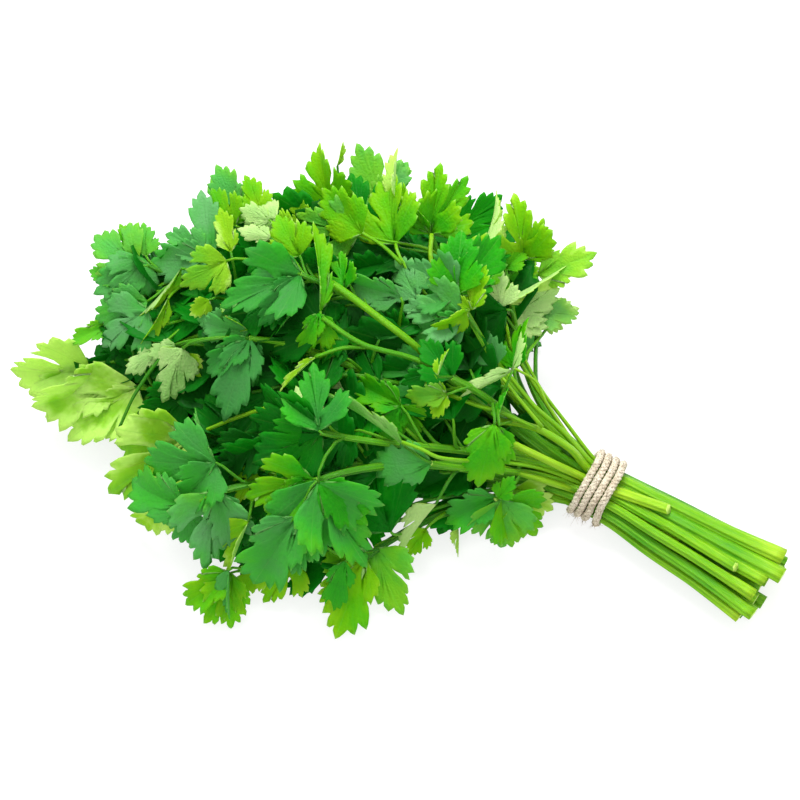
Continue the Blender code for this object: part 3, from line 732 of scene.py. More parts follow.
# Each leaflet's base, in millimetres from the middle of the tie along the bunch, across it and
# above the table; its heading, rise and roll in degrees, where a roll of 180 shows the underside;
# its length in millimetres; and its tone, from 0 for an old dark leaflet to 1 for a young yellow
# one. Some of the darkest stand low or deep among the others to fill gaps, and their near-black
# green is painted shade. Some also have their form named, and how much painted sheen they carry.
SPRIGS = {
    "crown_leaf_01": (
        (-181, -55, 18, -158, -10, -20, 31, 1.05, "broad", 0.1),
        (-182, -53, 18, -135, -20, -10, 25, 1.0, "slender", 0.1),
        (-172, -54, 22, -135, -15, -10, 32, 1.0, "narrow", 0.1),
        (-161, -54, 24, -120, -25, 0, 33, 1.0, "broad", 0.15),
        (-161, -54, 24, -100, -35, 0, 23, 0.97, "middling", 0.1),
    ),
    "crown_leaf_02": (
        (-132, -65, 30, -130, -35, 0, 39, 0.86, "deep", 0.1),
        (-132, -65, 30, -160, -25, -10, 31, 0.88, "broad", 0.1),
        (-132, -66, 31, 170, -5, -30, 15, 0.85),
    ),
    "side_leaf_11": (
        (-114, -75, 46, -165, -25, -15, 30, 0.22),
        (-114, -75, 46, 140, 0, -50, 23, 0.25),
        (-114, -75, 45, -115, -50, 0, 22, 0.3),
        (-118, -90, 34, 170, -25, -20, 29, 0.25),
        (-119, -90, 33, -40, -70, 0, 20, 0.3),
        (-126, -84, 20, -145, -45, -10, 22, 0.8),
    ),
    "crown_leaf_03": (
        (-109, -82, 40, -75, -50, 0, 31, 0.35, "deep", 0.6),
        (-109, -82, 40, -40, -50, 10, 23, 0.32, "narrow", 0.55),
        (-95, -85, 36, -100, -60, 60, 27, 0.85),
        (-103, -68, 40, -95, -35, 30, 15, 0.85),
    ),
    "crown_leaf_04": (
        (-96, -97, 15, -125, -30, 0, 21, 0.62),
        (-96, -97, 14, -95, -35, 0, 21, 0.62),
        (-96, -97, 15, -60, -40, 10, 21, 0.64),
        (-96, -98, 19, -60, -40, 55, 18, 0.3),
        (-79, -81, 14, -105, -35, 0, 20, 0.70),
        (-88, -89, 12, -120, -40, 0, 13, 0.85),
    ),
    "side_leaf_01": (
        (-78, -79, 46, -110, -50, 0, 33, 0.28),
        (-78, -78, 45, -75, -60, 15, 25, 0.30),
        (-79, -67, 54, -150, -30, -10, 28, 0.50, "deep"),
        (-79, -66, 53, -120, -35, 0, 25, 0.42),
    ),
    "crown_leaf_05": (
        (-76, -68, 56, -20, -45, 10, 37, 0.34, "deep", 0.2),
        (-77, -67, 55, -70, -55, 0, 33, 0.30, "broad", 0.2),
        (-76, -68, 56, 0, -35, 0, 24, 0.36),
    ),
    "crown_leaf_07": (
        (-80, -40, 44, -115, -15, 0, 22, 0.05, "broad"),
        (-84, -53, 60, -175, -20, -15, 30, 0.12),
        (-84, -53, 61, 165, -10, -25, 31, 0.1),
        (-84, -52, 59, -140, -30, -10, 29, 0.15),
        (-84, -54, 64, 125, 5, -10, 26, 0.22, "deep", 0.12),
        (-86, -51, 60, 145, -10, 180, 20, 0.9),
    ),
    "crown_leaf_08": (
        (-119, -7, 71, -130, -10, -5, 31, 0.13, "deep", 0.22),
        (-120, -9, 71, -98, -15, 0, 22, 0.14, "slender", 0.18),
        (-119, -7, 71, -160, -15, -10, 19, 0.15, "narrow", 0.3),
    ),
    "side_leaf_02": (
        (-147, -12, 64, -125, -15, -10, 19, 0.78, "broad", 0.1),
        (-162, -19, 56, -110, -30, -62, 24, 0.66, "slender", 0.05),
        (-161, -30, 52, -100, -40, -58, 23, 0.62, "slender", 0.05),
        (-146, -26, 58, -120, -25, -20, 9, 0.9),
        (-136, -30, 52, -170, 0, 0, 12, 0.28, "broad", 0.5),
    ),
    "crown_leaf_09": (
        (-106, -60, 46, -120, -40, 0, 20, 0.02, "broad"),
        (-125, -33, 60, -80, -30, 0, 31, 0.16, "slender", 0.25),
        (-125, -33, 60, -125, -35, -10, 21, 0.16, "slender", 0.2),
        (-126, -32, 59, -55, -45, 10, 19, 0.18, "slender", 0.2),
        (-127, -31, 60, -175, -20, -15, 19, 0.3),
        (-127, -31, 61, 160, -10, -50, 16, 0.6),
    ),
    "crown_leaf_24": (
        (-157, -45, 42, -120, -25, 180, 15, 0.7, "slender", 0.1),
        (-151, -42, 46, -135, -20, 180, 11, 0.65, "narrow", 0.1),
        (-142, -51, 31, -140, -25, 0, 20, 0.1, "broad"),
        (-147, -43, 48, -90, -45, 180, 22, 0.75),
        (-148, -43, 44, -20, -60, 10, 14, 0.85),
    ),
    "crown_leaf_10": (
        (-179, -22, 50, 170, -10, -5, 22, 0.45, "broad", 0.35),
        (-184, -18, 47, 145, 15, 0, 12, 0.62, "slender", 0.05),
        (-178, -18, 50, 125, 10, 0, 13, 0.45, "middling", 0.4),
        (-182, -30, 46, 180, -15, 0, 14, 0.42, "slender", 0.25),
        (-177, -20, 51, -105, -30, -5, 20, 0.3, "broad", 0.6),
        (-175, -21, 50, -130, -20, 0, 23, 0.3, "narrow", 0.5),
        (-169, -32, 46, -145, -30, 0, 23, 0.35, "middling", 0.45),
        (-167, -35, 46, -125, -35, 0, 23, 0.3, "deep", 0.6),
        (-181, -42, 33, -130, -15, 0, 15, 0.6, "slender", 0.1),
    ),
    "crown_leaf_11": (
        (-158, 13, 52, 145, 15, -10, 20, 0.5, "narrow", 0.35),
        (-162, 16, 40, 140, 20, -30, 19, 0.5, "broad", 0.3),
        (-156, -8, 54, 130, 10, -20, 26, 0.3, "slender", 0.65),
        (-159, -8, 54, 180, -5, 0, 17, 0.28, "middling", 0.65),
        (-156, -10, 55, -155, -15, 0, 23, 0.3, "narrow", 0.6),
    ),
    "side_leaf_03": (
        (-137, 2, 68, -175, -15, 180, 14, 0.97, "slender"),
        (-141, 8, 68, 180, -10, 180, 13, 0.97, "narrow"),
        (-123, -1, 72, 150, 15, 0, 17, 0.64, "broad"),
        (-148, 14, 58, 145, 15, 0, 16, 0.68, "middling"),
        (-154, 5, 58, 150, 0, -25, 18, 0.62),
        (-154, 6, 58, 90, -5, -20, 18, 0.62),
        (-140, 11, 66, -170, -25, 180, 16, 0.95),
        (-149, -6, 60, 135, 15, -20, 17, 0.74, "slender"),
        (-124, 2, 66, 145, 5, -20, 20, 0.68),
        (-134, 23, 50, 150, 10, -25, 12, 0.7),
    ),
    "side_leaf_04": (
        (-107, -14, 66, 125, 15, 58, 33, 0.62, "slender"),
        (-107, -15, 66, -40, -35, 0, 14, 0.45, "narrow"),
        (-107, -15, 66, -90, -40, -10, 16, 0.4, "slender"),
        (-111, 22, 64, 160, 5, -20, 23, 0.60),
        (-113, 22, 60, -175, -5, -20, 25, 0.5, "deep", 0.3),
        (-132, 36, 47, 135, 40, -10, 23, 0.62, "broad"),
    ),
    "crown_leaf_12": (
        (-135, 45, 58, 90, 65, 60, 11, 0.8, "slender"),
        (-100, 26, 60, 125, 10, -25, 28, 0.62, "broad"),
        (-107, 40, 64, 120, 25, -75, 19, 0.95),
        (-119, 51, 34, 145, 20, -20, 26, 0.55, "broad", 0.45),
        (-119, 51, 34, 90, 20, -20, 19, 0.55, "middling", 0.4),
        (-116, 33, 46, 135, 10, -25, 23, 0.08),
    ),
    "crown_leaf_13": (
        (-91, 36, 60, 110, 40, -15, 26, 0.60, "deep"),
        (-91, 36, 60, 150, 20, -30, 21, 0.55),
        (-91, 36, 60, 85, 20, 0, 25, 0.58, "deep"),
        (-86, 48, 50, 70, 5, 0, 21, 0.12),
        (-74, 44, 54, 105, 20, 70, 21, 0.95),
    ),
    "crown_leaf_14": (
        (-62, 53, 42, 132, 45, -10, 25, 0.74, "deep"),
        (-62, 53, 42, 85, 40, 10, 17, 0.70),
        (-65, 45, 44, 80, 0, 0, 12, 0.5),
    ),
    "crown_leaf_15": (
        (-56, 33, 36, 70, -10, 180, 23, 0.98, "broad"),
        (-50, 41, 30, 50, -20, 180, 19, 0.98, "right"),
        (-60, 33, 42, 65, -5, 78, 33, 0.95, "slender"),
        (-59, 44, 34, 90, 10, 0, 14, 0.85, "middling"),
        (-55, 52, 38, 45, 15, 0, 23, 0.80, "narrow", 0.2),
        (-58, 44, 38, 100, 20, 0, 12, 0.4),
        (-56, 35, 34, 60, 5, 180, 20, 0.95),
        (-51, 42, 28, 40, -15, 0, 18, 0.92, "middling", 0.5),
        (-51, 42, 28, 20, -35, 0, 14, 0.92, "slender", 0.5),
    ),
    "side_leaf_07": (
        (-75, 27, 52, 80, 5, 0, 24, 0.62, "broad"),
        (-49, 28, 24, 110, -5, -55, 19, 0.5, "narrow"),
        (-58, 28, 48, 125, 35, 180, 15, 0.95),
        (-43, 13, 40, 105, 10, -40, 20, 0.45),
        (-48, 8, 46, 145, 20, -20, 13, 0.2),
        (-40, 5, 54, 105, 30, 130, 14, 0.97, "narrow"),
        (-40, 5, 54, -125, -10, 132, 21, 0.93, "narrow"),
    ),
    "crown_leaf_16": (
        (-101, -28, 60, -110, -20, 60, 18, 0.7, "slender"),
        (-69, 16, 66, 170, -10, -20, 24, 0.28, "deep", 0.5),
        (-69, 16, 66, 115, 20, -15, 23, 0.38),
        (-69, 16, 66, 85, 5, 5, 28, 0.38),
    ),
    "side_leaf_05": (
        (-86, 6, 64, -175, -10, -10, 22, 0.34, "narrow", 0.7),
        (-82, 11, 60, 145, -5, -20, 19, 0.34, "middling", 0.7),
        (-64, 12, 62, -165, -15, -10, 24, 0.34, "deep", 0.7),
        (-62, 11, 60, -140, -25, -10, 23, 0.26, "narrow", 0.4),
        (-63, 13, 64, -130, -10, -40, 14, 0.76),
        (-62, 14, 64, 100, 20, -40, 17, 0.78),
        (-62, 14, 64, 165, 15, -20, 7, 0.8),
        (-105, -1, 64, 125, 5, -20, 15, 0.4),
    ),
    "crown_leaf_17": (
        (-56, -10, 58, 160, 10, 0, 18, 0.15, "broad"),
        (-62, -8, 56, -130, -10, 0, 15, 0.12, "middling"),
        (-67, -22, 40, -120, -15, 0, 24, 0.08, "fan"),
        (-68, -25, 50, 175, -10, -15, 20, 0.45),
        (-68, -25, 50, -95, -45, 0, 16, 0.42),
        (-68, -24, 49, -25, -50, 10, 14, 0.42),
        (-86, -30, 44, 150, 10, 180, 14, 0.95),
        (-90, -7, 50, 180, 10, -15, 14, 0.35),
        (-80, -2, 48, 170, 5, -20, 18, 0.15),
        (-68, -9, 46, -170, -5, -15, 21, 0.2),
        (-61, -12, 48, 170, 0, -20, 13, 0.3),
    ),
    "side_leaf_06": (
        (-55, -16, 56, -155, -15, -10, 15, 0.6, "narrow", 0.2),
        (-55, -16, 56, -95, -35, 0, 10, 0.7),
        (-55, -16, 56, 165, 10, -20, 11, 0.7),
        (-59, -15, 65, 95, 25, -60, 10, 0.75),
        (-35, -17, 54, -80, -50, 0, 25, 0.46, "narrow"),
        (-34, -15, 50, -55, -55, 0, 17, 0.45, "narrow"),
        (-37, -11, 44, 100, 25, -50, 13, 0.5),
    ),
    "crown_leaf_19": (
        (-42, -21, 20, -130, -15, 0, 22, 0.15, "fan"),
        (-58, -40, 54, 180, 15, 98, 35, 0.6, "slender"),
        (-47, -40, 52, -160, -20, -15, 24, 0.3, "narrow", 0.4),
        (-44, -42, 26, -105, -45, 130, 27, 0.95),
        (-45, -47, 14, -100, -35, 0, 12, 0.7),
    ),
    "crown_leaf_18": (
        # These four fan leaflets low by the tie are near-black green: painted shade in the gaps
        # under the bunch.
        (-24, 5, 8, -160, 0, 0, 16, 0.05, "fan"),
        (-23, -3, 6, -160, 0, 0, 18, 0.05, "fan"),
        (-30, 5, 12, 170, 10, 0, 14, 0.05, "fan"),
        (-29, 8, 20, -130, -10, 0, 18, 0.05, "fan"),
        (-27, -28, 24, -135, -30, -10, 22, 0.33, "narrow", 0.3),
        (-25, -28, 24, -60, -65, 0, 22, 0.45, "broad", 0.3),
        (-25, -28, 24, 10, -55, 10, 24, 0.5, "broad"),
        (-24, -26, 22, -125, -50, 0, 16, 0.5),
        (-25, -20, 20, 20, -40, 10, 20, 0.82),
        (-26, -29, 26, 80, 25, 0, 10, 0.5),
        (-37, -38, 7, -60, -30, 50, 11, 0.9),
    ),
    "crown_leaf_06": (
        (-57, -63, 14, -34, -25, 10, 26, 0.58, "broad", 0.25),
        (-58, -68, 14, -82, -25, 0, 31, 0.58, "narrow"),
        (-59, -68, 12, -110, -25, 0, 22, 0.60),
        (-62, -75, 20, -80, -40, 0, 20, 0.2, "slender", 0.15),
        (-62, -70, 11, -140, -35, 0, 12, 0.7),
    ),
}
LEAF_THICKNESS = 0.00024
MIDRIB = 0.03
EDGEWISE_WIDTH = 0.6
ROLL_WANDER = 14
TABLE_GAP = 0.0006
SETTLE = 0.004
SAME_BASE = 0.0035
SPRIG_SEED = 100
# A leaflet whose form isn't named takes the next one in turn, a narrower one if it shares its base.
CROWDED = ("narrow", "left", "right", "slender", "middling", "narrow")
ALONE = ("middling", "broad", "deep", "fan", "middling")
FRONT = np.array(towards(CAMERA_AZIMUTH, CAMERA_ELEVATION))
leaflet_numbers = itertools.count()


def turn_of(heading, rise, roll, facing=FRONT):
    """Columns: the leaflet's side, its way forward and its upper side's normal."""
    h, r, k = (math.radians(v) for v in (heading, rise, roll))
    ahead = np.array([math.cos(r) * math.cos(h), math.cos(r) * math.sin(h), math.sin(r)])
    up = facing - ahead * ahead.dot(facing)
    up /= np.linalg.norm(up)
    side = np.cross(ahead, up)
    return np.column_stack(
        [side * math.cos(k) - up * math.sin(k), ahead, up * math.cos(k) + side * math.sin(k)]
    )


def swung(shape, first, second, angle):
    """Points turned by an angle from one of their axes towards another."""
    c, s = math.cos(angle), math.sin(angle)
    a, b = shape[:, first], shape[:, second]
    shape = shape.copy()
    shape[:, first] = c * a - s * b
    shape[:, second] = s * a + c * b
    return shape


def bent(flat, rng, fold, droop, curl, wave, twist):
    """A form's vertices folded along the midrib, drooped along it, and waved at the rim."""
    x, y, z = flat.T
    z = z + (np.sqrt(x * x + MIDRIB**2) - MIDRIB) * math.sin(fold)
    x = x * math.cos(fold)
    angle = np.arctan2(flat[:, 0], y + 0.12)
    phase, other = rng.uniform(0, 6.28, 2)
    ripple = np.sin(3.1 * angle + phase) + 0.6 * np.sin(6.3 * angle + other)
    z = z - curl * x * x + wave * (x * x + y * y) * ripple
    c, s = np.cos(twist * y), np.sin(twist * y)
    x, z = c * x - s * z, s * x + c * z
    bow = y * droop
    straight_safe = 1 if abs(droop) < 1e-4 else droop
    forward = np.sin(bow) / straight_safe + z * np.sin(bow)
    height = -(1 - np.cos(bow)) / straight_safe + z * np.cos(bow)
    return np.column_stack([x, forward, height])


def grow_leaflet(plan, rng, crowd=1, facing=FRONT, facing_out=False):
    """A copy of one form, bent, sized and turned to its place."""
    x, y, z, heading, rise, roll, length, tone = plan[:8]
    number = next(leaflet_numbers)
    kinds = CROWDED if crowd > 1 else ALONE
    kind = plan[8] if len(plan) > 8 else kinds[number % len(kinds)]
    mesh = forms[kind].data.copy()
    edgewise = 45 < abs(roll) < 135
    flat = places_of(mesh) * (EDGEWISE_WIDTH if edgewise else 1.0, 1, 1)
    shape = bent(
        flat,
        rng,
        fold=0.75 if edgewise else rng.uniform(0.05, 0.55),
        droop=0.15 if edgewise else rng.uniform(0.0, 0.9),
        curl=rng.uniform(-0.25, 0.5),
        wave=rng.uniform(0.04, 0.12),
        twist=rng.uniform(-0.5, 0.5),
    )
    tip = shape[np.argmax(flat[:, 1])]
    shape = swung(shape, 0, 1, math.atan2(tip[0], tip[1]))
    shape = swung(shape, 1, 2, -math.atan2(tip[2], math.hypot(tip[0], tip[1])))
    shape *= length / 1000 / np.linalg.norm(tip)
    if not edgewise:
        roll += rng.uniform(-ROLL_WANDER, ROLL_WANDER)
    shape = shape @ turn_of(heading, rise, roll, facing).T + from_tie(x, y, z)
    floor = TABLE_GAP + 0.0004 * rng.random()
    low = shape[:, 2] < floor + SETTLE
    shape[low, 2] = floor + SETTLE * np.exp((shape[low, 2] - floor - SETTLE) / SETTLE)
    mesh.vertices.foreach_set("co", shape.ravel())
    # Mid-dark planned leaflets carry some painted grey-green sheen, others barely any, unless the
    # plan gives the share.
    sheened_leaflet = 0.19 < tone < 0.34 and not facing_out
    sheen_share = plan[9] if len(plan) > 9 else rng.uniform(0.2, 0.5) if sheened_leaflet else 0.02
    set_values(mesh, "tone", np.full(len(flat), 0.06 + 0.92 * tone + rng.normal(0, 0.03)))
    set_values(mesh, "painted_sheen", np.full(len(flat), sheen_share))
    leaflet = bpy.data.objects.new("leaflet", mesh)
    scene.collection.objects.link(leaflet)
    return leaflet


def join(name, parts):
    """Several objects made one, with the first one's materials."""
    select_only(*parts)
    if len(parts) > 1:
        bpy.ops.object.join()
    whole = bpy.context.active_object
    whole.name = name
    whole.data.name = name
    return whole


def clothe(obj, *materials):
    """Gives a piece its materials and a smooth surface."""
    for material in materials:
        obj.data.materials.append(material)
    edit(obj, bpy.ops.mesh.faces_shade_smooth)


# ---------------------------------------------------------------------------------------------
# The stems standing: each follows its modelled centre line and bends to the leaflet it carries.
# Behind the tie they splay, swell towards a slanted cut, and end unevenly. Beyond it, a stalk
# may grow from every ring of a stem.
# The rings up to the tie stay where the twine holds them. Two stems bow in at the right edge.
FREE_RING = 5
BOWED_IN, BOW = (14, 15), 0.006
TIP_CATCH = 0.03
HALF_BUNDLE = 0.012
SQUEEZE, SQUEEZE_SHIFT, SQUEEZE_LENGTH = 0.0014, 0.0008, 0.03
SPLAY, SPLAY_SHIFT, SPLAY_WANDER = 0.0022, 0.0014, 0.0018
SPLAY_START, SPLAY_LENGTH = 0.012, 0.06
UNEVEN_ENDS, EDGE_ENDS = 0.0035, 0.0008
SWELL = 0.35
BARE_LENGTH = 0.022
CUT_LEAN = 0.35
STEM_SEED = 700

growing_points = []
for number, (centres, radii) in stem_lines.items():
    name = f"crown_leaf_{number:02d}"
    tip = centres[-1]
    if name in SPRIGS:
        bases = [from_tie(*plan[:3]) for plan in SPRIGS[name]]
        nearest = min(bases, key=lambda base: np.linalg.norm(base - tip))
        if np.linalg.norm(nearest - tip) < TIP_CATCH:
            tip = nearest
    steps = np.linspace(0, 1, len(centres) - FREE_RING) ** 2
    centres = centres.copy()
    centres[FREE_RING:] += steps[:, None] * (tip - centres[-1])
    if number in BOWED_IN:
        centres[FREE_RING:, 1] -= BOW * np.sin(math.pi * np.sqrt(steps))
    line = smooth_line(centres, RING_SPACING)
    thick = np.interp(np.linspace(0, 1, len(line)), np.linspace(0, 1, len(radii)), radii)
    rng = np.random.default_rng(STEM_SEED + number)
    tone = rng.uniform(0.15, 0.80)
    beyond = np.clip((line[:, 0] - TIE[0] - SPLAY_START) / SPLAY_LENGTH, 0, 1)
    edge = (line[0, 1] - TIE[1]) / HALF_BUNDLE
    around = np.exp(-(((line[:, 0] - TIE[0]) / SQUEEZE_LENGTH) ** 2))
    line[:, 1] += around * (SQUEEZE * edge - SQUEEZE_SHIFT) + SPLAY_SHIFT * beyond**2
    own_way = rng.uniform(-SPLAY_WANDER, SPLAY_WANDER)
    line[:, 1] += beyond**1.5 * (own_way + SPLAY * edge * abs(edge))
    line[:, 0] -= beyond * (rng.uniform(0, UNEVEN_ENDS) + EDGE_ENDS * (1 - edge))
    thick = thick * (1 + beyond * rng.uniform(0.0, SWELL))
    stem = rolled_tube(
        f"ribbed_stem_{number:02d}",
        line,
        thick,
        STEM_CORNERS,
        RIBS,
        RIB_DEPTH,
        lean=CUT_LEAN * rng.uniform(-1.2, 0.8),
        flat=rng.uniform(1.05, 1.45),
    )
    reach = np.zeros(len(stem.data.vertices))
    stem.data.attributes["reach"].data.foreach_get("value", reach)
    set_values(stem.data, "tone", tone + 0.30 * np.exp(-reach / 0.05) - 0.25 * reach)
    clothe(stem, stem_skin, stem_cut)
    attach(stem, "root")
    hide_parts(f"stem_{number:02d}")
    away = np.gradient(line, axis=0)
    away /= np.linalg.norm(away, axis=1)[:, None]
    leafy = line[:, 0] < TIE[0] - BARE_LENGTH
    growing_points += zip(line[leafy], away[leafy], thick[leafy])


# ---------------------------------------------------------------------------------------------
# Two stems were cut short and lie on top of the others. Each is two ends, in millimetres from
# the tie along and across and how far it sinks between its neighbours, then its thickness in
# millimetres and its tone.
SHORT_STEMS = (
    (((3, -2, 1.5), (27, 1.0, 0.3)), 3.1, 0.85),
    (((4, -1, 4.0), (58, -7, 0.2)), 2.9, 0.62),
)
SHORT_LEAN, SHORT_FLAT = 0.5, 1.2
SHORT_RINGS = 14
SIDE_BY_SIDE = 0.0022


def bundle_top(x, y):
    """How high the stems reach over this place beyond the tie."""
    highest = 0
    for centres, radii in stem_lines.values():
        order = np.argsort(centres[:, 0])
        along = centres[order, 0]
        if abs(np.interp(x, along, centres[order, 1]) - y) < SIDE_BY_SIDE:
            highest = max(highest, np.interp(x, along, centres[order, 2] + radii[order]))
    return highest


for k, (places, thick, tone) in enumerate(SHORT_STEMS, 1):
    ends = []
    for x, y, sunk in places:
        end = from_tie(x, y, 0)
        end[2] = bundle_top(end[0], end[1]) + (thick / 2 - sunk) / 1000
        ends.append(end)
    short = rolled_tube(
        f"short_cut_stem_{k}",
        np.linspace(ends[1], ends[0], SHORT_RINGS),
        np.full(SHORT_RINGS, thick / 2000),
        STEM_CORNERS,
        RIBS,
        RIB_DEPTH,
        SHORT_LEAN,
        tone,
        SHORT_FLAT,
    )
    clothe(short, stem_skin, stem_cut)
    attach(short, "root")


# ---------------------------------------------------------------------------------------------
# The sprigs standing: one piece of leaflets for each modelled leaf, and one of the stalks that
# join them to the stems. A stalk leaves the stem forwards and thins out to its leaflet.
STALK_RIBS, STALK_CORNERS = 4, 8
SIDE_RIB_DEPTH = 0.06
STALK_SHARE = 0.8
STALK_THICKEST, STALK_THINNEST = 0.0017, 0.0009
STALK_SPACING = 0.004
LEAVING_PULL, ARRIVING_PULL = 0.7, 0.6
STALK_LOWEST = 0.0012
TOUCHING = 0.0015
SHORTEST_STALK = 0.009
LEAST_LEAN, LEAST_FACING = 0.3, -0.2
# The pale leaflet here covers its own stalk, so none is grown.
BARE_BASE, BARE_REACH = from_tie(-50, 42, 29), 0.003


def grow_stalk(name, start, leaving, end, arriving, thick, thin, tone):
    """A short curved stalk between two points."""
    reach = np.linalg.norm(end - start)
    count = max(5, int(reach / STALK_SPACING))
    t = np.linspace(0, 1, count)[:, None]
    line = (
        (2 * t**3 - 3 * t**2 + 1) * start
        + (t**3 - 2 * t**2 + t) * leaving * reach * LEAVING_PULL
        + (3 * t**2 - 2 * t**3) * end
        + (t**3 - t**2) * arriving * reach * ARRIVING_PULL
    )
    line[:, 2] = np.maximum(line[:, 2], STALK_LOWEST)
    radii = np.linspace(thick, thin, count) / 2
    return rolled_tube(name, line, radii, STALK_CORNERS, STALK_RIBS, SIDE_RIB_DEPTH, tone=tone)


def stalk_to(name, base, heading, tone):
    """A stalk from the best growing point behind a leaflet's base."""
    best = None
    for point, away, thick in growing_points:
        gap = base - point
        reach = np.linalg.norm(gap)
        if reach < TOUCHING:
            return None
        lean = gap.dot(away) / reach
        facing = gap.dot(heading) / reach
        if reach < SHORTEST_STALK or lean < LEAST_LEAN or facing < LEAST_FACING:
            continue
        cost = reach * (2.2 - lean - 0.5 * facing)
        if best is None or cost < best[0]:
            best = (cost, point, away, thick)
    if best is None:
        return None
    _, point, away, thick = best
    thick = min(2 * thick * STALK_SHARE, STALK_THICKEST)
    return grow_stalk(name, point, away, base, heading, thick, STALK_THINNEST, tone)


def grow_sprig(node_name, plans, rng, facings=None):
    """All the leaflets and stalks that stand for one modelled leaf."""
    leaflets, stalks, joints = [], [], []
    for k, plan in enumerate(plans):
        crowd = sum(np.abs(np.subtract(plan[:3], other[:3])).max() < 3 for other in plans)
        facing = FRONT if facings is None else facings[k]
        leaflets.append(grow_leaflet(plan, rng, crowd, facing, facings is not None))
        base = from_tie(*plan[:3])
        if all(np.linalg.norm(base - other) > SAME_BASE for other, _ in joints):
            joints.append((base, turn_of(*plan[3:6])[:, 1]))
    blades = join(f"{node_name}_leaflets", leaflets)
    blades.data.materials.append(leaf_upper)
    blades.data.materials.append(leaf_under)
    thicken = blades.modifiers.new("solidify", "SOLIDIFY")
    thicken.thickness = LEAF_THICKNESS
    thicken.offset = -1
    thicken.material_offset = 1
    thicken.material_offset_rim = 0
    select_only(blades)
    bpy.ops.object.modifier_apply(modifier=thicken.name)
    clothe(blades)
    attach(blades, "root")
    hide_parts(node_name)
    for base, heading in joints:
        if np.abs(base - BARE_BASE).max() < BARE_REACH:
            continue
        made = stalk_to("stalk", base, heading, rng.uniform(0.10, 0.45))
        if made:
            stalks.append(made)
    if stalks:
        stalk = join(f"{node_name}_stalks", stalks)
        clothe(stalk, stem_skin)
        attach(stalk, "root")


for k, (node_name, plans) in enumerate(SPRIGS.items()):
    grow_sprig(node_name, plans, np.random.default_rng(SPRIG_SEED + k))


# ---------------------------------------------------------------------------------------------
# Branches: the longer side shoots that show between the leaflets, each a few places in
# millimetres from the tie, its thickness in millimetres at either end, and its tone.
BRANCHES = (
    (((-120, 0, 60), (-107, -3, 67), (-88, -6, 66), (-71, -6, 57), (-62, -6, 40), (-50, -4, 25),
      (-25, -1, 14)), 2.6, 2.2, 0.5),
    (((-105, -16, 66), (-88, -17, 64), (-66, -10, 58), (-40, -6, 38), (-17, 1, 20)), 1.7, 2.2, 0.3),
    (((-101, -28, 60), (-94, -21, 62), (-85, -16, 63)), 1.2, 1.6, 0.3),
    (((-90, 35, 62), (-85, 26, 60), (-75, 19, 54), (-61, 12, 44), (-37, 6, 30)), 1.6, 1.9, 0.7),
    (((-99, 25, 62), (-95, 21, 62), (-84, 16, 58), (-69, 11, 50)), 1.2, 1.7, 0.5),
    (((-111, 22, 64), (-102, 21, 64), (-93, 19, 62)), 1.1, 1.5, 0.45),
    (((-59, 30, 44), (-53, 25, 42), (-50, 22, 38), (-44, 19, 34), (-28, 12, 26),
      (-11, 5, 18)), 1.1, 1.9, 0.7),
    (((-183, -52, 18), (-165, -46, 30), (-144, -33, 46), (-126, -27, 50)), 1.1, 1.6, 0.4),
    (((-158, -71, 24), (-157, -59, 34), (-152, -43, 44), (-139, -36, 48)), 1.1, 1.6, 0.1),
    (((-129, -27, 52), (-114, -19, 54), (-96, -14, 54)), 1.3, 1.8, 0.1),
    (((-136, -67, 26), (-125, -61, 38), (-115, -54, 46), (-101, -41, 50)), 1.2, 1.6, 0.7),
    (((-64, -55, 14), (-56, -47, 18), (-47, -38, 20), (-29, -22, 18), (-11, -8, 12)), 1.2, 1.8, 0.1),
    (((-65, -59, 10), (-50, -43, 14), (-37, -30, 16), (-20, -15, 12), (-9, -8, 9)), 1.2, 1.8, 0.2),
    (((-41, -22, 16), (-25, -15, 14), (-11, -9, 11), (0, -5, 8)), 1.6, 2.6, 0.35),
    (((-44, 19, 42), (-32, 13, 34), (-19, 10, 24), (-7, 7, 16), (3, 5, 13)), 1.1, 1.7, 0.75),
    (((-42, 10, 46), (-34, 12, 40), (-28, 9, 35), (-20, 7, 27), (-7, 5, 17),
      (3, 4, 14)), 0.9, 1.4, 0.8),
    (((-43, 7, 46), (-30, 4, 38), (-19, 5, 28), (-7, 4, 18), (3, 3, 14)), 1.5, 2.4, 0.65),
    (((-44, 4, 48), (-35, 1, 44), (-24, -1, 36)), 1.1, 1.5, 0.7),
    (((-39, -8, 38), (-32, -4, 36), (-24, -1, 33), (-13, 1, 26), (-6, 1, 18),
      (4, 1, 14)), 2.2, 3.2, 0.72),
    (((-57, -12, 48), (-45, -9, 45), (-38, -6, 42), (-26, -2, 35)), 1.5, 1.6, 0.6),
    (((-32, -12, 36), (-17, -8, 28), (-6, -3, 18), (4, -2, 14)), 2.4, 3.0, 0.85),
    (((-32, -19, 32), (-19, -11, 26), (-7, -5, 17), (3, -4, 13)), 1.3, 1.8, 0.6),
    (((-32, -19, 28), (-17, -13, 22), (-7, -7, 14), (3, -5, 11)), 2.2, 2.9, 0.75),
    (((-50, -32, 36), (-40, -25, 33), (-31, -19, 30)), 1.5, 1.7, 0.3),
    (((-59, -40, 56), (-52, -39, 56), (-46, -38, 54), (-40, -33, 49), (-36, -26, 40),
      (-30, -17, 26)), 1.3, 1.4, 0.6),
    (((-15, -12, 12), (-9, -9, 11), (0, -7, 9)), 1.8, 2.4, 0.8),
    (((-118, -44, 44), (-105, -34, 46), (-91, -23, 48), (-74, -16, 46)), 1.2, 1.8, 0.15),
)
BRANCH_SPACING = 0.0025
BRANCH_RIBS, BRANCH_CORNERS = 5, 10

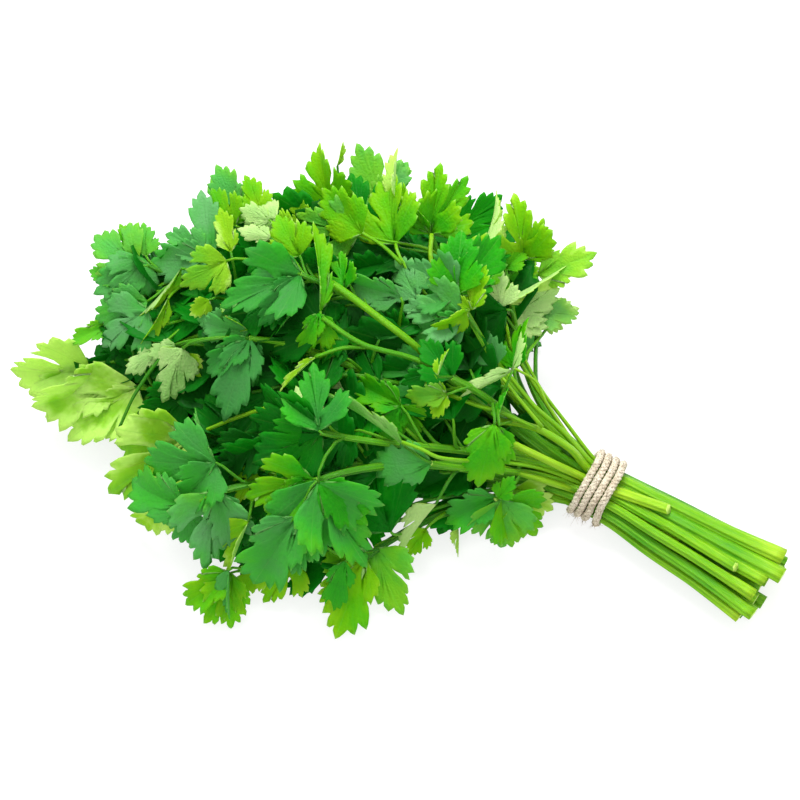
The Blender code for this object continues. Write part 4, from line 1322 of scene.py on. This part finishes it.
for k, (places, thick, thin, tone) in enumerate(BRANCHES, 1):
    line = smooth_line([from_tie(*place) for place in places], BRANCH_SPACING)
    radii = np.linspace(thick, thin, len(line)) / 2000
    branch = rolled_tube(
        f"side_branch_{k:02d}", line, radii, BRANCH_CORNERS, BRANCH_RIBS, SIDE_RIB_DEPTH, tone=tone
    )
    clothe(branch, stem_skin, stem_cut)
    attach(branch, "root")


# ---------------------------------------------------------------------------------------------
# Inner and lower leaflets: the rest of the sprigs fill the bunch under the ones above, hang
# over its far side, and lie pressed on the table. They stand in millimetres from the tie.
FILLED = [name for name in sorted(nodes) if "leaf" in name and name not in SPRIGS]
INNER_A_SPRIG = 8
INNER_START = 0.045
INNER_STALK = 0.010
ORDER_WANDER = 0.05
# Each leaflet that a sprig already has counts as this much further away.
FULLNESS = 0.004
INNER_DROP = 7
SHADE_SPACING = 10
THICK_REACH = 26
OVER_REACH, ROUND_ABOUT = 17, 25
LEAST_HEIGHT = 4
LOW_DOWN, LOW_RISE = 8, -5
SHORTEST_SHADE = 15
SHADE_SHRINK = 0.85
SHADE_HALF_WIDTH = 0.45
# Forms for the dark leaflets whose colour paints the shade inside the bunch.
PAINTED_SHADE_FORMS = ("broad", "fan", "middling", "narrow")
# Light shows through between the stalks here, near the lower edge.
OPEN_PLACE, OPEN_REACH = np.array([-56, -46, 5]), 14
ACROSS = np.array(camera.rotation_euler.to_matrix().col[0])
ABOVE = np.array(camera.rotation_euler.to_matrix().col[1])
rng = np.random.default_rng(9)
blades = []
for plans in SPRIGS.values():
    for x, y, z, heading, rise, roll, length, *_ in plans:
        middle = np.array([x, y, z]) + 0.5 * length * turn_of(heading, rise, 0)[:, 1]
        blades.append((middle @ ACROSS, middle @ ABOVE, middle @ FRONT))
blades = np.array(blades)


def blades_near(spot, reach):
    """Which planned leaflets are within this reach of a spot, as seen from the front."""
    return np.linalg.norm(blades[:, :2] - spot, axis=1) < reach


def in_the_thick(place):
    """Whether planned leaflets stand all round this place, as seen from the front."""
    spot = (place @ ACROSS, place @ ABOVE)
    gaps = (blades[:, :2] - spot)[blades_near(spot, THICK_REACH)]
    quarters = {(gap[0] > 0, gap[1] > 0) for gap in gaps}
    return len(gaps) > 3 and len(quarters) == 4


def in_the_open(place):
    gap = place - OPEN_PLACE
    return math.hypot(gap @ ACROSS, gap @ ABOVE) < OPEN_REACH


# These grow from the stems, in any direction that keeps them behind the planned ones.
filling = {name: ([], []) for name in FILLED}
inner_points = [p for p in growing_points if p[0][0] < TIE[0] - INNER_START]
for node_name in FILLED:
    low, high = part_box(node_name)
    middle = (np.array(low) + np.array(high)) / 2
    order = sorted(
        inner_points,
        key=lambda p: np.linalg.norm(p[0] - middle) + rng.uniform(0, ORDER_WANDER),
    )
    for point, away, _ in order[:: max(1, len(order) // 3 // INNER_A_SPRIG)][:INNER_A_SPRIG]:
        heading = math.degrees(math.atan2(away[1], away[0])) + rng.uniform(-75, 75)
        rise = rng.uniform(-30, 12)
        ahead = turn_of(heading, rise, 0)[:, 1]
        place = (point + INNER_STALK * ahead - from_tie(0, 0, 0)) * 1000
        length = rng.uniform(22, 30)
        tip = place + length * ahead
        if not in_the_thick(place) or not in_the_thick(tip) or in_the_open((place + tip) / 2):
            continue
        close = blades_near((place @ ACROSS, place @ ABOVE), OVER_REACH)
        if close.any():
            depth = min(place @ FRONT, blades[close, 2].min() - INNER_DROP)
            place = place + (depth - place @ FRONT) * FRONT
            place = place + max(0, LEAST_HEIGHT - place[2]) / FRONT[2] * FRONT
        if place[2] < LOW_DOWN:
            rise = max(rise, LOW_RISE)
        outward = np.array([0.0, place[1] + 25, 1.4 * place[2] - 30 + rng.uniform(0, 40)])
        roll = rng.uniform(-35, 35)
        # Their tones keep to the darker greens: partly older leaflets' own colour, partly painted
        # shade inside the bunch.
        filling[node_name][0].append((*place, heading, rise, roll, length, rng.uniform(0.02, 0.35)))
        filling[node_name][1].append(outward / np.linalg.norm(outward))

# Dark ones stand in every opening between the planned ones, a little way down. Their near-black
# green is painted shade, the dark inside of the bunch.
for a in np.arange(blades[:, 0].min(), blades[:, 0].max(), SHADE_SPACING):
    for b in np.arange(blades[:, 1].min(), blades[:, 1].max(), SHADE_SPACING):
        here = np.array([a, b]) + rng.uniform(-4, 4, 2)
        spot = here[0] * ACROSS + here[1] * ABOVE
        close = blades_near(here, OVER_REACH)
        if not close.any() or not in_the_thick(spot):
            continue
        around = blades[blades_near(here, ROUND_ABOUT), 2].min()
        depth = min(blades[close, 2].min() - rng.uniform(4, 11), around - 2)
        place = spot + depth * FRONT
        sunk = max(0, LEAST_HEIGHT + rng.uniform(0, 4) - place[2])
        place = place + sunk / FRONT[2] * FRONT
        if sunk > 0 and place @ FRONT > around or in_the_open(place):
            continue
        heading = math.degrees(math.atan2(place[1], place[0])) + rng.uniform(-80, 80)
        rise = rng.uniform(-35, 5)
        length = rng.uniform(30, 42)
        way = turn_of(heading, rise, 0)
        while length > SHORTEST_SHADE:
            base = place - 0.5 * length * way[:, 1]
            rim = [base, base + length * way[:, 1]]
            rim += [place + side * SHADE_HALF_WIDTH * length * way[:, 0] for side in (-1, 1)]
            if all(in_the_thick(point) for point in rim):
                break
            length *= SHADE_SHRINK
        else:
            continue
        base[2] = max(base[2], LEAST_HEIGHT)
        nearest = min(
            FILLED,
            key=lambda n: len(filling[n][0]) * FULLNESS
            + np.linalg.norm(np.array(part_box(n)).mean(0) - from_tie(*base)),
        )
        # A tone at the near-black end: painted shade.
        roll, tone = rng.uniform(-30, 30), rng.uniform(-0.06, 0.14)
        filling[nearest][0].append((*base, heading, rise, roll, length, tone, rng.choice(PAINTED_SHADE_FORMS)))
        filling[nearest][1].append(FRONT)
for node_name, (plans, facings) in filling.items():
    grow_sprig(node_name, plans, rng, facings)

for form in forms.values():
    bpy.data.objects.remove(form)


# ---------------------------------------------------------------------------------------------
# Twine: natural three-ply jute, four turns side by side round the stems, knotted at the back
# with two short ends. Loose fibres stand out all over the turns.
TWINE_DIAMETER = 0.0028
PLY_DIAMETER = 0.00160
PLY_OFFSET = 0.00064
PLY_PITCH = 0.0048
TWINE_TURNS = 4
TWINE_PITCH = 0.0030
TURN_STEPS = 48
TURN_LEAN = 0.0023
TURN_START = math.radians(-50)
LAST_TURN_RISE, LAST_TURN_PLACE = 0.0016, math.radians(215)
TIED_RADIUS = 0.00145
STEM_GAP = 0.0003
ROUND_REACH = 0.0126
ROUND_HEIGHT = 0.0112
TIGHTNESS = 0.35
TWINE_LOWEST = 0.0016
KNOT_PLACE = math.radians(-40)
END_LENGTH = 0.009
TWINE_SPACING = 0.0006
PLY_CORNERS, PLY_WANDER, PLY_SWELL = 8, 0.10, 0.12
KNOT_BOW = (0.0032, 0.0012, 0.0020)
FIBRES, FIBRE_CORNERS, FIBRE_POINTS = 420, 3, 5
FIBRE_ROOT = 0.42 * TWINE_DIAMETER
FIBRE_LENGTHS, FIBRE_RADII = (0.0008, 0.0026), (0.00008, 0.00003)
JUTE_COLOURS = (
    (0.30, (0.26, 0.20, 0.12)),
    (0.42, (0.50, 0.43, 0.31)),
    (0.52, (0.68, 0.61, 0.48)),
    (0.70, (0.78, 0.72, 0.60)),
)
JUTE_SPECK = (0.26, 0.18, 0.11)


def round_the_bundle(turned):
    """Where the twine's middle passes in this direction, hugging the outer stems."""
    y, z = math.cos(turned), math.sin(turned)
    outer = max(held, key=lambda p: (p[1] - TIE[1]) * y + p[2] * z)
    reach = TIED_RADIUS + STEM_GAP + TWINE_DIAMETER / 2
    tight = np.array([outer[1] + y * reach, outer[2] + z * reach])
    even = np.array([TIE[1] - 0.0008 + y * ROUND_REACH, ROUND_HEIGHT + z * (ROUND_REACH - 0.0020)])
    there = TIGHTNESS * tight + (1 - TIGHTNESS) * even
    there[1] = max(there[1], TWINE_LOWEST)
    return there


def twine_route():
    """All the turns, leaning a little over the bundle, the last one crossing back."""
    steps = TWINE_TURNS * TURN_STEPS
    route = []
    for i in range(steps + 1):
        turned = 2 * math.pi * i / TURN_STEPS + TURN_START
        x = TIE[0] - 0.0006 + (i / steps - 0.5) * TWINE_TURNS * TWINE_PITCH
        x += TURN_LEAN * math.sin(turned)
        if i > steps - TURN_STEPS:
            x += LAST_TURN_RISE * max(0, math.cos(turned - LAST_TURN_PLACE)) ** 2
        route.append((x, *round_the_bundle(turned)))
    return np.array(route)


def wandering(rng, count, span):
    """Small ups and downs along a line."""
    return np.convolve(rng.normal(0, 1, count), np.ones(span) / span, "same")


def plies(name, route):
    """Three strands laid round each other along a route."""
    line = smooth_line(route, TWINE_SPACING)
    _, sides, ups = carried_frames(line)
    gone = length_along(line)
    rng = np.random.default_rng(5)
    strands = []
    for ply in range(3):
        turned = 2 * math.pi * (gone / PLY_PITCH + ply / 3)
        offset = (PLY_OFFSET * (1 + PLY_WANDER * wandering(rng, len(line), 9)))[:, None]
        path = line + np.cos(turned)[:, None] * sides * offset
        path = path + np.sin(turned)[:, None] * ups * offset
        thick = PLY_DIAMETER / 2 * (1 + PLY_SWELL * wandering(rng, len(line), 7))
        strands.append(rolled_tube(f"{name}_{ply}", path, thick, PLY_CORNERS))
    return strands


def twine_material():
    made, tree, shader = new_material("jute_twine")
    fibres = noise(tree, stretched(tree, (22.0, 9.0, 1.0), 0.35), 2.4, 6, 0.7)
    place = node(tree, "ShaderNodeTexCoord").outputs["Object"]
    specks = noise(tree, place, 1500, 2)
    patches = maths(tree, "MULTIPLY", noise(tree, place, 220, 3), 0.4)
    value = maths(tree, "ADD", maths(tree, "MULTIPLY", fibres, 0.6), patches)
    speckled = between(tree, specks, 0.53, 0.63, 0.0, 0.75)
    jute = blended(tree, speckled, colours(tree, value, JUTE_COLOURS), JUTE_SPECK)
    tree.links.new(jute, shader.inputs["Base Color"])
    tree.links.new(between(tree, fibres, 0.3, 0.7, 0.8, 0.95), shader.inputs["Roughness"])
    shader.inputs["Specular IOR Level"].default_value = 0.25
    raise_relief(tree, shader, fibres, 0.9)
    return made


route = twine_route()
strands = plies("twine_turn", route)
knot_y, knot_z = round_the_bundle(KNOT_PLACE)
knot = np.array([TIE[0], knot_y + 0.0022, knot_z + 0.0012])
for side in (-1, 1):
    out = np.array([side * 0.97, 0.05, -0.2])
    tail = np.array([knot + out * END_LENGTH * t for t in (0.0, 0.35, 0.7, 1)])
    tail[:, 2] = np.maximum(tail[:, 2], TWINE_LOWEST)
    strands += plies(f"twine_end_{side}", tail)
loop = []
for k in range(13):
    turned = 2 * math.pi * k / 12
    bow = np.array([math.cos(turned), math.sin(2 * turned), math.sin(turned)])
    loop.append(knot + bow * KNOT_BOW)
strands += plies("twine_knot", np.array(loop))
rng = np.random.default_rng(21)
for _ in range(FIBRES):
    start = route[rng.integers(4, len(route) - 4)]
    outward = np.array([0, start[1] - TIE[1], start[2] - 0.010])
    outward /= np.linalg.norm(outward)
    way = outward * rng.uniform(0.2, 1) + rng.normal(0, 0.8, 3)
    way /= np.linalg.norm(way)
    root = start + outward * FIBRE_ROOT
    bow = rng.normal(0, 0.35, 3)
    length = rng.uniform(*FIBRE_LENGTHS)
    t = np.linspace(0, 1, FIBRE_POINTS)[:, None]
    line = root + length * (t * way + t * t * bow)
    line[:, 2] = np.maximum(line[:, 2], 0.0002)
    radii = np.linspace(*FIBRE_RADII, FIBRE_POINTS)
    strands.append(rolled_tube("fibre", line, radii, FIBRE_CORNERS))
twine = join("jute_twine_tie", strands)
jute = twine_material()
clothe(twine, jute, jute)
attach(twine, "root")
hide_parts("twine")

low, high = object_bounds()
